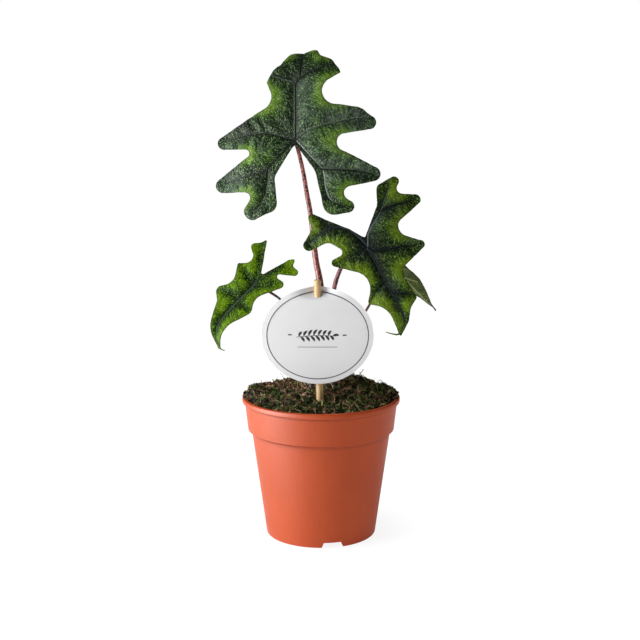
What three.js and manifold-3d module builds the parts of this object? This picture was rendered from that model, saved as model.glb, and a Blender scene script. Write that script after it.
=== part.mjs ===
// A young alocasia in a plastic nursery pot: four lobed leaf blades on mottled stalks, peat, and an oval card
// on a bamboo stick. Millimetres, +Z up, origin on the ground under the pot's axis, -Y is the front.
import * as THREE from 'three';
import { mergeVertices } from 'three/addons/utils/BufferGeometryUtils.js';
import Module from 'manifold-3d';

// ---- Driving dimensions ----

const CLEARANCE = 0.3;            // gap left between pieces that touch
const POT_HEIGHT = 107;
const RIM_RADIUS = 60;            // outside of the rolled lip
const LIP_HEIGHT = 4.2;
const BAND_HEIGHT = 25;           // lip's top to the collar band's lower edge
const BAND_TOP_RADIUS = 58.5;
const BAND_LOW_RADIUS = 55.75;
const STEP_HEIGHT = 3.5;          // slope from the band in to the body
const BODY_TOP_RADIUS = 52.6;
const FOOT_RADIUS = 42;
const FOOT_WIDTH = 5;
const FOOT_EDGE = 0.8;            // small rounding of the foot
const WALL = 1.6;
const FLOOR_UNDERSIDE = 4.6;      // the floor stands this far above the ground
const FLOOR_THICKNESS = 2;
const POT_SIDES = 64;
const LIP_ROUND = 1.1;
const EASE = 0.4;                 // small set-backs where the pot's inside follows its outside
const FLOOR_TOP = FLOOR_UNDERSIDE + FLOOR_THICKNESS;
const BAND_LOW = POT_HEIGHT - BAND_HEIGHT;
const BODY_TOP = BAND_LOW - STEP_HEIGHT;
const SLOT = { count: 3, turn: 12, low: 17.5, high: 13.5, height: 4.2 };   // notches through the foot ring
const DRAIN = { count: 6, radius: 5, ring: 22, sides: 16 };

const SOIL_LEVEL = 107;           // surface at the wall
const SOIL_FRONT_DROP = 5;        // lower at the front
const SOIL_BACK_RISE = 2.5;       // higher at the back
const SOIL_DOME = 5.5;            // higher in the middle
const SOIL_EDGE = 99;             // the soil's sides end here, and its surface starts
const SOIL_SIDES = 48;
const SOIL_RINGS = [56.2, 53, 47.5, 42, 36.5, 31, 25.5, 20, 14, 8, 0];
const CLOD_HEIGHT = 0.9;
const HUMMOCKS = [                // [x, y, radius, height] of the mossy clumps
  [27, 14, 15, 7.5], [-50, 8, 14, 5.5], [-30, 14, 14, 0.5], [50, 6, 12, 2.5], [6, -18, 12, -1.5],
  [-24, -28, 12, 1.5], [5, -5, 13, 4.5],
];
const STEM_SEAT = 88;             // height of the bottom of the stalks' holes
const STEM_UPRIGHT = 121;         // the stalks stand upright up to here
const STEM_APPROACH = 5;          // the stalks' last run, square to the blade
const HOLE = { length: 60, sides: 20 };

const STAKE = { radius: 2.75, bottom: 34, top: 199.8, from: [-0.8, -27], to: [-2.8, -27], chamfer: 0.8,
  sides: 16 };

const CARD = { centre: [-2.5, -30.6, 158.8], halfWidth: 41, halfHeight: 35.8, thickness: 0.8, spacing: 5.6 };
const CARD_SIDES = 56;
const CARD_BOW = 590;             // the card bows back at its left and right, on this radius
const CARD_SLIT = { below: 26.3, above: 33.5, offset: 7.2, spread: 11 };   // where the card passes the stick

const BLADE_THICKNESS = 0.8;
const STEM_SIDES = 10;

const wasm = await Module();
wasm.setup();

// ---- Closed solids ----

// The same body with shared vertices, no slivers, and its faces pointing out.
function closed(geometry) {
  const bare = new THREE.BufferGeometry();
  bare.setAttribute('position', geometry.getAttribute('position').clone());
  if (geometry.index) bare.setIndex(geometry.index.clone());
  const merged = mergeVertices(bare, 1e-3);
  const index = [];
  const source = merged.index.array;
  for (let i = 0; i < source.length; i += 3) {
    const [a, b, c] = source.slice(i, i + 3);
    if (a !== b && b !== c && c !== a) index.push(a, b, c);
  }
  merged.setIndex(index);
  return signedVolume(merged) < 0 ? turnedOut(merged) : merged;
}

function signedVolume(geometry) {
  const position = geometry.getAttribute('position');
  const corners = [new THREE.Vector3(), new THREE.Vector3(), new THREE.Vector3()];
  let volume = 0;
  for (let i = 0; i < geometry.index.count; i += 3) {
    corners.forEach((corner, k) => corner.fromBufferAttribute(position, geometry.index.getX(i + k)));
    volume += corners[0].dot(corners[1].clone().cross(corners[2])) / 6;
  }
  return volume;
}

function turnedOut(geometry) {
  const index = Array.from(geometry.index.array);
  for (let i = 0; i < index.length; i += 3) [index[i + 1], index[i + 2]] = [index[i + 2], index[i + 1]];
  geometry.setIndex(index);
  return geometry;
}

function toManifold(geometry) {
  const body = closed(geometry);
  return new wasm.Manifold(new wasm.Mesh({
    numProp: 3,
    vertProperties: new Float32Array(body.getAttribute('position').array),
    triVerts: new Uint32Array(body.index.array),
  }));
}

function without(geometry, cutters) {
  let body = toManifold(geometry);
  for (const cutter of cutters) body = body.subtract(toManifold(cutter));
  const mesh = body.getMesh();
  const result = new THREE.BufferGeometry();
  result.setAttribute('position', new THREE.BufferAttribute(new Float32Array(mesh.vertProperties), 3));
  result.setIndex(Array.from(mesh.triVerts));
  return result;
}

// ---- Outlines: a belt round circles ----
// Each circle is [u, v, r]. The belt goes round them counter-clockwise, outside a lobe (r > 0) and inside a
// bay (r < 0), with a straight run along the common tangent between two neighbours.

const FULL_TURN = 2 * Math.PI;
const ARC_STEP = THREE.MathUtils.degToRad(28);
const MOST_TURN = THREE.MathUtils.degToRad(330);   // an arc past this is a belt that only brushes the circle

function tangent([u1, v1, r1], [u2, v2, r2]) {
  const along = new THREE.Vector2(u2 - u1, v2 - v1);
  const square = along.lengthSq();
  const difference = r1 - r2;
  const across = new THREE.Vector2(along.y, -along.x);
  across.multiplyScalar(Math.sqrt(square - difference * difference));
  return along.multiplyScalar(difference).add(across).divideScalar(square);
}

function belt(circles) {
  const points = [];
  circles.forEach(([u, v, r], i) => {
    const before = circles.at(i - 1);
    const after = circles[(i + 1) % circles.length];
    const start = tangent(before, [u, v, r]).angle();
    const way = Math.sign(r);
    let turn = THREE.MathUtils.euclideanModulo(way * (tangent([u, v, r], after).angle() - start), FULL_TURN);
    if (turn > MOST_TURN) turn = 0;
    const steps = Math.max(1, Math.ceil(turn / ARC_STEP));
    for (let k = 0; k <= steps; k++) {
      const angle = start + (way * turn * k) / steps;
      points.push(new THREE.Vector2(u + r * Math.cos(angle), v + r * Math.sin(angle)));
    }
  });
  return points;
}

function ellipse(halfWidth, halfHeight, count) {
  return Array.from({ length: count }, (_, i) => {
    const angle = (FULL_TURN * i) / count;
    return new THREE.Vector2(halfWidth * Math.cos(angle), halfHeight * Math.sin(angle));
  });
}

// ---- A sheet with any outline, split into well-shaped triangles ----

const SHORTEST_EDGE = 0.7;
const SAME_POINT = 0.3;
const HAIR = 1e-3;
const ROOM = { edge: 1.02, rim: 0.55, rib: 0.6, inner: 0.72 };   // shares of a radius or of the spacing

// Splits the long edges, and every edge whose own circle holds another corner, so that each edge stays an
// edge of the triangles.
function refined(outline, spacing) {
  let ring = outline.filter((p, i) => p.distanceTo(outline.at(i - 1)) > SAME_POINT);
  for (let split = true; split;) {
    split = false;
    const next = [];
    ring.forEach((p, i) => {
      const q = ring[(i + 1) % ring.length];
      const middle = p.clone().lerp(q, 0.5);
      const radius = p.distanceTo(q) / 2;
      const crowded = ring.some((o) => o !== p && o !== q && o.distanceTo(middle) < radius * ROOM.edge);
      next.push(p);
      if (2 * radius > spacing || (crowded && 2 * radius > SHORTEST_EDGE)) {
        next.push(middle);
        split = true;
      }
    });
    ring = next;
  }
  return ring;
}

function isInside(ring, point) {
  let inside = false;
  ring.forEach((p, i) => {
    const q = ring.at(i - 1);
    const crosses = p.y > point.y !== q.y > point.y;
    if (crosses && point.x < ((q.x - p.x) * (point.y - p.y)) / (q.y - p.y) + p.x) inside = !inside;
  });
  return inside;
}

// Keeps clear of the rim's edges, so that no edge's circle holds an inner point.
function isClearOfRim(ring, point, margin) {
  return ring.every((p, i) => {
    const q = ring[(i + 1) % ring.length];
    const edge = q.clone().sub(p);
    const t = THREE.MathUtils.clamp(point.clone().sub(p).dot(edge) / edge.lengthSq(), 0, 1);
    return p.clone().addScaledVector(edge, t).distanceTo(point) > margin;
  });
}

function innerPoints(ring, ribs, spacing) {
  const margin = ROOM.rim * spacing;
  const points = [];
  const add = (point, gap) => {
    const free = points.every((p) => p.distanceTo(point) > gap);
    if (free && isInside(ring, point) && isClearOfRim(ring, point, margin)) points.push(point);
  };
  for (const rib of ribs) {
    for (let i = 0; i + 1 < rib.length; i++) {
      const [start, end] = [new THREE.Vector2(...rib[i]), new THREE.Vector2(...rib[i + 1])];
      const steps = Math.max(1, Math.round(start.distanceTo(end) / spacing));
      for (let k = 0; k <= steps; k++) add(start.clone().lerp(end, k / steps), ROOM.rib * spacing);
    }
  }
  const box = new THREE.Box2().setFromPoints(ring);
  const rowHeight = spacing * Math.sqrt(0.75);
  for (let row = 0; box.min.y + row * rowHeight < box.max.y; row++) {
    for (let column = 0; box.min.x + column * spacing < box.max.x; column++) {
      const shift = (row % 2) / 2 + 0.06 * Math.sin(7 * row + 13 * column);   // unlike a perfect grid
      const place = new THREE.Vector2(box.min.x + (column + shift) * spacing, box.min.y + row * rowHeight);
      add(place, ROOM.inner * spacing);
    }
  }
  return points;
}

// Delaunay triangles, by adding one point at a time. The points are shifted a hair, so that no four of them
// lie on one circle.
function delaunay(exact) {
  const points = exact.map(({ x, y }, i) => {
    return new THREE.Vector2(x + HAIR * Math.sin(37 * i), y + HAIR * Math.cos(23 * i));
  });
  const box = new THREE.Box2().setFromPoints(points);
  const reach = 40 * box.getSize(new THREE.Vector2()).length();
  const middle = box.getCenter(new THREE.Vector2());
  const all = [...points];
  for (const angle of [0.3, 2.4, 4.5]) {
    all.push(new THREE.Vector2(Math.cos(angle), Math.sin(angle)).multiplyScalar(reach).add(middle));
  }
  let triangles = [withCircle(all, points.length, points.length + 1, points.length + 2)];
  points.forEach((point, index) => {
    const open = triangles.filter((t) => t.centre.distanceToSquared(point) < t.square);
    const edges = new Map();
    for (const { corners } of open) {
      corners.forEach((a, k) => {
        const b = corners[(k + 1) % 3];
        if (!edges.delete(`${b},${a}`)) edges.set(`${a},${b}`, [a, b]);
      });
    }
    triangles = triangles.filter((t) => !open.includes(t));
    for (const [a, b] of edges.values()) triangles.push(withCircle(all, a, b, index));
  });
  return triangles.map((t) => t.corners).filter((corners) => corners.every((c) => c < points.length));
}

function withCircle(points, a, b, c) {
  const [p, q, r] = [points[a], points[b], points[c]];
  const [bx, by, cx, cy] = [q.x - p.x, q.y - p.y, r.x - p.x, r.y - p.y];
  const twice = 2 * (bx * cy - by * cx);
  const [bb, cc] = [bx * bx + by * by, cx * cx + cy * cy];
  const offset = new THREE.Vector2((cy * bb - by * cc) / twice, (bx * cc - cx * bb) / twice);
  return { corners: [a, b, c], centre: p.clone().add(offset), square: offset.lengthSq() };
}

// A sheet of even thickness over surface(u, v), with the same triangles on both faces and a narrow rim.
function sheetGeometry({ outline, ribs = [], surface, thickness, spacing }) {
  const ring = refined(outline, spacing);
  const points = [...ring, ...innerPoints(ring, ribs, spacing)];
  const centroid = (t) => t.reduce((sum, i) => sum.add(points[i]), new THREE.Vector2()).divideScalar(3);
  const triangles = delaunay(points).filter((t) => isInside(ring, centroid(t)));
  const faces = [];
  const positions = [];
  for (const side of [1, -1]) {
    for (const { x, y } of points) {
      const place = surface(x, y).addScaledVector(normalOf(surface, x, y), (side * thickness) / 2);
      positions.push(...place);
    }
  }
  const count = points.length;
  const open = new Map();
  for (const [a, b, c] of triangles) {
    faces.push(a, b, c, count + a, count + c, count + b);
    for (const [p, q] of [[a, b], [b, c], [c, a]]) {
      if (!open.delete(`${q},${p}`)) open.set(`${p},${q}`, [p, q]);
    }
  }
  for (const [p, q] of open.values()) faces.push(p, count + p, count + q, p, count + q, q);
  const geometry = new THREE.BufferGeometry();
  geometry.setAttribute('position', new THREE.Float32BufferAttribute(positions, 3));
  geometry.setIndex(faces);
  return closed(geometry);
}

function normalOf(surface, u, v) {
  const step = 0.05;
  const alongU = surface(u + step, v).sub(surface(u - step, v));
  const alongV = surface(u, v + step).sub(surface(u, v - step));
  return alongU.cross(alongV).normalize();
}

// ---- Leaf blades ----
// A leaf has its own plane at the junction, where the stalk joins: u runs across, v runs to the tip, w is
// out of the upper face. The blade then bends back along v, arches across u, is lifted or dropped round a
// few spots, and is puffed up between its sunken veins.

const smooth = (t) => t * t * (3 - 2 * t);

function between(stations, value) {
  const next = stations.findIndex(([at]) => value < at);
  if (next === 0) return stations[0][1];
  if (next < 0) return stations.at(-1)[1];
  const [[low, from], [high, to]] = [stations[next - 1], stations[next]];
  return from + (to - from) * smooth((value - low) / (high - low));
}

function distanceToLines(lines, u, v) {
  let least = Infinity;
  for (const line of lines) {
    for (let i = 0; i + 1 < line.length; i++) {
      const [[au, av], [bu, bv]] = [line[i], line[i + 1]];
      const [du, dv] = [bu - au, bv - av];
      const t = THREE.MathUtils.clamp(((u - au) * du + (v - av) * dv) / (du * du + dv * dv), 0, 1);
      least = Math.min(least, Math.hypot(u - au - t * du, v - av - t * dv));
    }
  }
  return least;
}

const SPINE_START = -90;
const SPINE_STEP = 0.5;
const SPINE_COUNT = 460;

class Blade {
  constructor(leaf) {
    Object.assign(this, leaf);
    this.origin = new THREE.Vector3(...leaf.junction);
    this.along = new THREE.Vector3(...leaf.tipWay).normalize();
    const face = new THREE.Vector3(...leaf.faceWay);
    this.out = face.addScaledVector(this.along, -face.dot(this.along)).normalize();
    this.across = this.along.clone().cross(this.out);
    this.spine = this.makeSpine();
  }

  // The bent midrib, as [along, out, angle] every SPINE_STEP, with the junction at [0, 0].
  makeSpine() {
    const spine = [];
    let [along, out] = [0, 0];
    for (let i = 0; i <= SPINE_COUNT; i++) {
      const angle = THREE.MathUtils.degToRad(between(this.bend, SPINE_START + i * SPINE_STEP));
      spine.push([along, out, angle]);
      along += Math.cos(angle) * SPINE_STEP;
      out -= Math.sin(angle) * SPINE_STEP;
    }
    const [alongZero, outZero] = spine[-SPINE_START / SPINE_STEP];
    return spine.map(([a, o, angle]) => [a - alongZero, o - outZero, angle]);
  }

  relief(u, v) {
    let height = (this.arch * u * u) / 1000;
    for (const [atU, atV, radius, lift] of this.lifts) {
      height += lift * Math.exp(-((u - atU) ** 2 + (v - atV) ** 2) / radius ** 2);
    }
    const distance = distanceToLines(this.veins, u, v);
    return height + this.puff * (1 - Math.exp(-((distance / this.veinReach) ** 2)));
  }

  point(u, v) {
    const place = (v - SPINE_START) / SPINE_STEP;
    const i = Math.floor(place);
    const [before, after] = [this.spine[i], this.spine[i + 1]];
    const [along, out, angle] = before.map((value, k) => value + (place - i) * (after[k] - value));
    const height = this.relief(u, v);
    return this.origin.clone()
      .addScaledVector(this.across, u)
      .addScaledVector(this.along, along + height * Math.sin(angle))
      .addScaledVector(this.out, out + height * Math.cos(angle));
  }

  // A point on the stalk's side of the junction, this far from the middle of the blade's thickness.
  behind(distance) {
    return this.origin.clone().addScaledVector(this.out, -distance);
  }

  geometry() {
    return sheetGeometry({
      outline: belt(this.outline),
      ribs: this.veins,
      surface: (u, v) => this.point(u, v),
      thickness: BLADE_THICKNESS,
      spacing: this.spacing,
    });
  }
}

const leafTop = new Blade({
  junction: [-19, 6, 299],
  tipWay: [0.02, 0.155, 0.988],
  faceWay: [0.04, -0.98, 0.155],
  bend: [[42, 0], [62, 37], [82, 108], [118, 162]],
  arch: -1,
  lifts: [[-55, -3, 20, -5], [-54, -36, 18, -5], [58, 18, 18, -5], [60, -22, 16, -4], [-28, -54, 14, 3],
    [35, -46, 14, 3], [-14, 48, 10, 1.5], [16, 50, 10, 1.5], [13, 71, 6, 2],
    [-5, 74, 6, -2.4], [22, 63, 6, -0.2]],
  puff: 1.7,
  veinReach: 5,
  spacing: 5,
  outline: [
    [0, -5, -1.5], [2.2, -8.2, -1.5], [6.6, -26.3, -9], [29.2, -46, 8.3], [39.8, -47.7, 4.9],
    [41.4, -37.8, -5], [58.7, -22.5, 5.8], [37, 0, -6.5], [54.9, 15.3, 5.6], [44, 14.6, 12.5],
    [28.5, 37.5, -9.5], [31, 51.8, 1.3], [22.5, 58.8, 6.5], [20.5, 71.5, -5.2],
    [11.5, 84, 7.5], [21, 97, -7], [8.5, 114, 0.8], [-4, 100, -9], [3, 82, 7], [-11, 69, -6.5], [-8.5, 52, 5],
    [-13.5, 47.5, 5], [-20.5, 42, 1.5], [-28.9, 31.6, -10.5], [-52.9, -2.5, 5.1], [-36.7, -10.4, -3.1],
    [-53, -34, 5.8], [-37, -43.5, -4.5], [-30.5, -53.4, 6.3], [-20.5, -46.5, 7.7], [-5.5, -29, -9],
  ],
  veins: [
    [[0, 0], [0, 30], [-0.5, 44], [2.5, 47], [6, 66], [8, 90], [8.5, 104]],
    [[0, 0], [11, 3], [33, 11], [54, 15.5]],
    [[0, 0], [-15, -0.5], [-33.5, -2.5], [-52, -3]],
    [[0, 0], [20, -20.5], [44.5, -20.5], [58, -22.5]],
    [[20, -20.5], [22.5, -36], [28, -44.5], [39, -47]],
    [[0, 0], [-20.5, -23], [-40.5, -30], [-53, -34]],
    [[-20.5, -23], [-24, -38], [-29, -52]],
    [[0, 26], [16, 43], [28, 50]],
    [[0, 24], [-11, 34], [-19, 41]],
  ],
});

const leafRight = new Blade({
  junction: [34, -10, 222],
  tipWay: [0.28, -0.35, -0.89],
  faceWay: [0.10, -0.93, 0.35],
  bend: [[0, 0], [40, -4], [70, 12]],
  arch: -0.8,
  lifts: [[40, -14, 12, -3], [-46, -27, 12, -3], [-40, 8, 12, -3], [34, -31, 8, 2], [-24, 45, 8, -2],
    [10, 41, 8, -2], [-14, -20, 12, 2]],
  puff: 1.5,
  veinReach: 4.5,
  spacing: 4.4,
  outline: [
    [0, -8.5, -1], [19, -4.5, 15.5], [33, -30.5, 3.5], [39.5, -25.5, -4], [40.8, -12.5, 4.6],
    [29, -4.3, -5.8], [22.3, -1.2, -3], [26.3, 6.2, 3.2], [20.5, 28.5, -13.5], [9.5, 41, 2],
    [15.5, 60.5, -17.5], [-4.5, 70.3, 0.8], [-4, 56.5, 10.7], [-22.5, 57, -6.5], [-21.5, 45.5, 3],
    [-27.5, 28.5, -8.5], [-39.6, 7.8, 3.6], [-33.5, -7.2, -7], [-46.5, -26.7, 4.4], [-38.5, -37, -4],
    [-34.5, -43.7, 3.6], [-24, -39, 5], [-5.4, -33.5, -11.5],
  ],
  veins: [
    [[0, 0], [-6.5, 30], [-9.5, 58], [-6, 66]],
    [[0, 0], [-18.5, -26], [-30, -41]],
    [[-18.5, -26], [-32, -27], [-46, -26.5]],
    [[0, 0], [9.5, -12], [21, -19], [40, -14.5]],
    [[21, -19], [32, -30]],
    [[0, 0], [-39, 8]],
    [[0, 0], [25, 6]],
    [[-7, 40], [-22, 45]],
    [[-6.5, 31], [9, 40]],
  ],
});

const leafLeft = new Blade({
  junction: [-49.5, 2, 192.5],
  tipWay: [-0.66, -0.22, -0.72],
  faceWay: [-0.12, -0.92, 0.38],
  bend: [[0, 0], [34, 0], [58, 30]],
  arch: -1,
  lifts: [[18, 24, 10, -2], [-14, -26, 9, -2], [18, -24, 9, -2], [-6, 18, 9, 1]],
  puff: 1.3,
  veinReach: 4,
  spacing: 4,
  outline: [
    [1.2, -10.2, -1], [16.4, -29.8, 1.2], [20.3, -27.8, -1.5], [19.2, -21.3, 3.5], [20, -11.4, -5.5],
    [19.4, -3.1, 1.6], [23.6, 9.1, -8.8], [15.8, 20.6, 4.9], [19.3, 33.3, -7.5], [-12, 32.5, 21.2],
    [-11.2, 54.6, 0.9], [-26, 40, -19.8], [-5.8, 19.2, 6.9], [-19.4, 8.4, -10.5], [-14.5, -11.3, 3.6],
    [-10.6, -15.8, -1.7], [-16.7, -25.6, 3.2], [-13.8, -30.8, -2], [-10.2, -32, 1.2], [-9.5, -28.2, 3.2],
  ],
  veins: [
    [[0, 0], [2.5, 36], [-4, 46], [-9.5, 52]],
    [[0, 0], [14.5, -22], [17, -28]],
    [[0, 0], [-4, -12.5], [-15, -26.5]],
    [[0, 0], [-15, -12]],
    [[0, 0], [19, -3]],
    [[3, 12.5], [16, 21.5]],
    [[1.5, 16], [-9, 19.5]],
  ],
});

const leafBack = new Blade({
  junction: [51.6, 4, 207.8],
  tipWay: [0.69, -0.3, -0.71],
  faceWay: [0.25, 0.93, 0.28],
  bend: [[0, 0], [28, 0], [52, 22]],
  arch: -1.5,
  lifts: [[6, -10, 7, -1.5], [-6, -10, 7, -1.5]],
  puff: 1,
  veinReach: 3.5,
  spacing: 3.6,
  outline: [
    [0, -5, -0.8], [9, -15, 2.2], [10, -7, -3], [0.5, 13, 8], [1.2, 23.5, 8], [2, 36, 3.3], [2, 40.3, 2.1],
    [6.2, 45.8, -3.4], [2.4, 50.2, 0.7], [-2, 46.5, -3.6], [2, 40.3, 2.1], [1.8, 34, 3.2], [-7, 33, -4.5],
    [-1, 15, 7], [-10, -7, -3], [-8.5, -14.5, 2.2],
  ],
  veins: [
    [[0, 0], [0.5, 24], [1.2, 42]],
    [[0, 0], [9, -14]],
    [[0, 0], [-8.5, -13.5]],
    [[0, 4], [7, 13]],
    [[0, 4], [-7, 12]],
    [[0, 14], [6, 24]],
    [[0, 14], [-6, 23]],
  ],
});

// ---- Stalks ----

// A round bar along a curve, thinner or thicker along its length: radii are [share of the length, radius].
function stemGeometry(points, radii, sides, steps) {
  const curve = new THREE.CatmullRomCurve3(points.map((p) => new THREE.Vector3(...p)), false, 'centripetal');
  const { normals, binormals } = curve.computeFrenetFrames(steps, false);
  const bar = new THREE.CylinderGeometry(1, 1, 1, sides, steps);
  const position = bar.getAttribute('position');
  for (let i = 0; i < position.count; i++) {
    const share = position.getY(i) + 0.5;
    const ring = Math.round(share * steps);
    const radius = between(radii, share);
    const place = curve.getPointAt(Math.min(1, Math.max(0, share)))
      .addScaledVector(normals[ring], position.getX(i) * radius)
      .addScaledVector(binormals[ring], position.getZ(i) * radius);
    position.setXYZ(i, ...place);
  }
  return closed(bar);
}

// Stalk's end to the middle of the blade's thickness, with a little for the stalk's tilt.
const SEAT_GAP = BLADE_THICKNESS / 2 + CLEARANCE + 0.05;

function stalk({ foot, way, blade, radii, steps }) {
  const upright = [[...foot, STEM_SEAT + CLEARANCE], [...foot, STEM_UPRIGHT]];
  return {
    points: [...upright, ...way, blade.behind(STEM_APPROACH).toArray(), blade.behind(SEAT_GAP).toArray()],
    radii,
    steps,
    foot,
  };
}

const stalks = {
  petiole_top: stalk({
    foot: [1.5, 5],
    way: [[-0.5, 5, 190], [-4, 5, 211], [-8, 5.5, 245.5], [-10.6, 6.5, 260], [-13.3, 7.5, 276],
      [-16.8, 9, 291]],
    blade: leafTop,
    radii: [[0, 3.7], [0.15, 3.5], [0.4, 2.9], [0.58, 2.2], [0.74, 1.8], [0.9, 1.5], [1, 1.3]],
    steps: 26,
  }),
  petiole_left: stalk({
    foot: [-7.5, 1],
    way: [[-10, 2.5, 140], [-18.6, 4.5, 165.4], [-30, 6.5, 179.1], [-38, 8, 184.8]],
    blade: leafLeft,
    radii: [[0, 2.6], [0.25, 2.2], [0.5, 1.5], [0.8, 1], [1, 0.9]],
    steps: 22,
  }),
  petiole_right: stalk({
    foot: [9.5, -2.5],
    way: [[8.5, -0.5, 150], [8, 2.5, 172], [9.8, 4, 188.5], [14.5, 5, 203], [22, 3.5, 214.5]],
    blade: leafRight,
    radii: [[0, 3], [0.25, 2.6], [0.5, 2], [0.8, 1.6], [1, 1.4]],
    steps: 22,
  }),
  petiole_back: stalk({
    foot: [8, 13],
    way: [[13, 13.5, 137], [24, 12.5, 155], [33.5, 10.5, 169.5], [40, 7.5, 181.5], [46, 3.5, 195.5]],
    blade: leafBack,
    radii: [[0, 2.2], [0.25, 1.7], [0.5, 1], [1, 0.8]],
    steps: 20,
  }),
};

// ---- Pot ----

function potWall(z, inset) {
  return straightBetween([[0, FOOT_RADIUS], [BODY_TOP, BODY_TOP_RADIUS], [BAND_LOW, BAND_LOW_RADIUS],
    [POT_HEIGHT, BAND_TOP_RADIUS]], z) - inset;
}

// Straight runs between stations.
function straightBetween(stations, value) {
  const next = Math.max(1, stations.findIndex(([at], i) => value <= at || i === stations.length - 1));
  const [[low, from], [high, to]] = [stations[next - 1], stations[next]];
  return from + ((to - from) * (value - low)) / (high - low);
}

function potGeometry() {
  const lipLow = POT_HEIGHT - LIP_HEIGHT;
  const outer = (z) => [potWall(z, 0), z];
  const inner = (z) => [potWall(z, WALL), z];
  const profile = [
    [0, FLOOR_UNDERSIDE], [FOOT_RADIUS - FOOT_WIDTH, FLOOR_UNDERSIDE], [FOOT_RADIUS - FOOT_WIDTH, 0],
    [FOOT_RADIUS - FOOT_EDGE, 0], outer(FOOT_EDGE), outer(BODY_TOP), outer(BAND_LOW), outer(lipLow),
    [RIM_RADIUS - EASE, lipLow + EASE], [RIM_RADIUS, lipLow + LIP_ROUND],
    [RIM_RADIUS, POT_HEIGHT - LIP_ROUND], [RIM_RADIUS - LIP_ROUND, POT_HEIGHT],
    [BAND_TOP_RADIUS - WALL + EASE, POT_HEIGHT], inner(POT_HEIGHT - LIP_ROUND), inner(BAND_LOW - EASE),
    inner(BODY_TOP - EASE), inner(FLOOR_TOP), [0, FLOOR_TOP],
  ];
  const body = new THREE.LatheGeometry(profile.map((p) => new THREE.Vector2(...p)), POT_SIDES);
  body.rotateX(Math.PI / 2);
  return without(body, [...footSlots(), ...drainHoles()]);
}

// Notches right through the foot ring, from a little outside it to a little inside.
function footSlots() {
  const { low, high, height, count, turn } = SLOT;
  const depth = 2 * FOOT_WIDTH;
  const inside = FOOT_RADIUS - 1.4 * FOOT_WIDTH;
  const shape = new THREE.Shape([[-low / 2, -1], [low / 2, -1], [high / 2, height], [-high / 2, height]]
    .map((p) => new THREE.Vector2(...p)));
  return Array.from({ length: count }, (_, i) => {
    const slot = new THREE.ExtrudeGeometry(shape, { depth, bevelEnabled: false });
    slot.rotateX(Math.PI / 2);
    slot.translate(0, -inside, 0);
    slot.rotateZ(THREE.MathUtils.degToRad(turn) + (i * FULL_TURN) / count);
    return slot;
  });
}

function drainHoles() {
  return Array.from({ length: DRAIN.count }, (_, i) => {
    const hole = new THREE.CylinderGeometry(DRAIN.radius, DRAIN.radius, 4 * FLOOR_THICKNESS, DRAIN.sides);
    hole.rotateX(Math.PI / 2);
    hole.translate(DRAIN.ring, 0, FLOOR_UNDERSIDE + FLOOR_THICKNESS / 2);
    hole.rotateZ((i * FULL_TURN) / DRAIN.count);
    return hole;
  });
}

// ---- Soil ----

function soilHeight(x, y) {
  const radius = Math.hypot(x, y) / (BAND_TOP_RADIUS - WALL);
  const front = SOIL_FRONT_DROP * smooth(THREE.MathUtils.clamp(-y / RIM_RADIUS, 0, 1));
  const back = SOIL_BACK_RISE * smooth(THREE.MathUtils.clamp(y / RIM_RADIUS, 0, 1));
  let height = SOIL_LEVEL - front + back + SOIL_DOME * (1 - radius * radius);
  for (const [atX, atY, spread, rise] of HUMMOCKS) {
    height += rise * Math.exp(-((x - atX) ** 2 + (y - atY) ** 2) / spread ** 2);
  }
  const clods = Math.sin(0.33 * x + 1.1) * Math.sin(0.37 * y + 0.6) + 0.6 * Math.sin(0.55 * (x + y));
  return height + CLOD_HEIGHT * clods;
}

function soilGeometry() {
  const floor = FLOOR_TOP + CLEARANCE;
  const side = (z) => [potWall(z, WALL + CLEARANCE), z];
  const sides = [floor, BODY_TOP - 2 * EASE, BAND_LOW - 2 * EASE, SOIL_EDGE].map(side);
  const profile = [[0, floor], ...sides, ...SOIL_RINGS.map((r) => [r, POT_HEIGHT])];
  const body = new THREE.LatheGeometry(profile.map((p) => new THREE.Vector2(...p)), SOIL_SIDES);
  body.rotateX(Math.PI / 2);
  const position = body.getAttribute('position');
  for (let i = 0; i < position.count; i++) {
    if (position.getZ(i) > SOIL_EDGE + EASE) position.setZ(i, soilHeight(position.getX(i), position.getY(i)));
  }
  const holes = Object.values(stalks).map(({ foot, radii }) => hole(foot, radii[0][1] + CLEARANCE));
  return without(body, [...holes, stakeGeometry(CLEARANCE)]);
}

function hole(foot, radius) {
  const cutter = new THREE.CylinderGeometry(radius, radius, HOLE.length, HOLE.sides);
  cutter.rotateX(Math.PI / 2);
  cutter.translate(...foot, STEM_SEAT + HOLE.length / 2);
  return cutter;
}

// ---- Stick and card ----

function stakeAxis(z) {
  const share = (z - POT_HEIGHT) / (STAKE.top - POT_HEIGHT);
  return STAKE.from.map((start, k) => start + share * (STAKE.to[k] - start));
}

// A bar with chamfered ends. For the hole that it stands in it is larger all round and runs on upwards.
function stakeGeometry(extra) {
  const { chamfer } = STAKE;
  const radius = STAKE.radius + extra;
  const bottom = STAKE.bottom - extra;
  const top = STAKE.top + HOLE.length * Math.sign(extra);
  const profile = [[0, bottom], [radius - chamfer, bottom], [radius, bottom + chamfer],
    [radius, top - chamfer], [radius - chamfer, top], [0, top]];
  const body = new THREE.LatheGeometry(profile.map((p) => new THREE.Vector2(...p)), STAKE.sides);
  body.rotateX(Math.PI / 2);
  const position = body.getAttribute('position');
  for (let i = 0; i < position.count; i++) {
    const [x, y] = stakeAxis(position.getZ(i));
    position.setXYZ(i, position.getX(i) + x, position.getY(i) + y, position.getZ(i));
  }
  return body;
}

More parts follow.
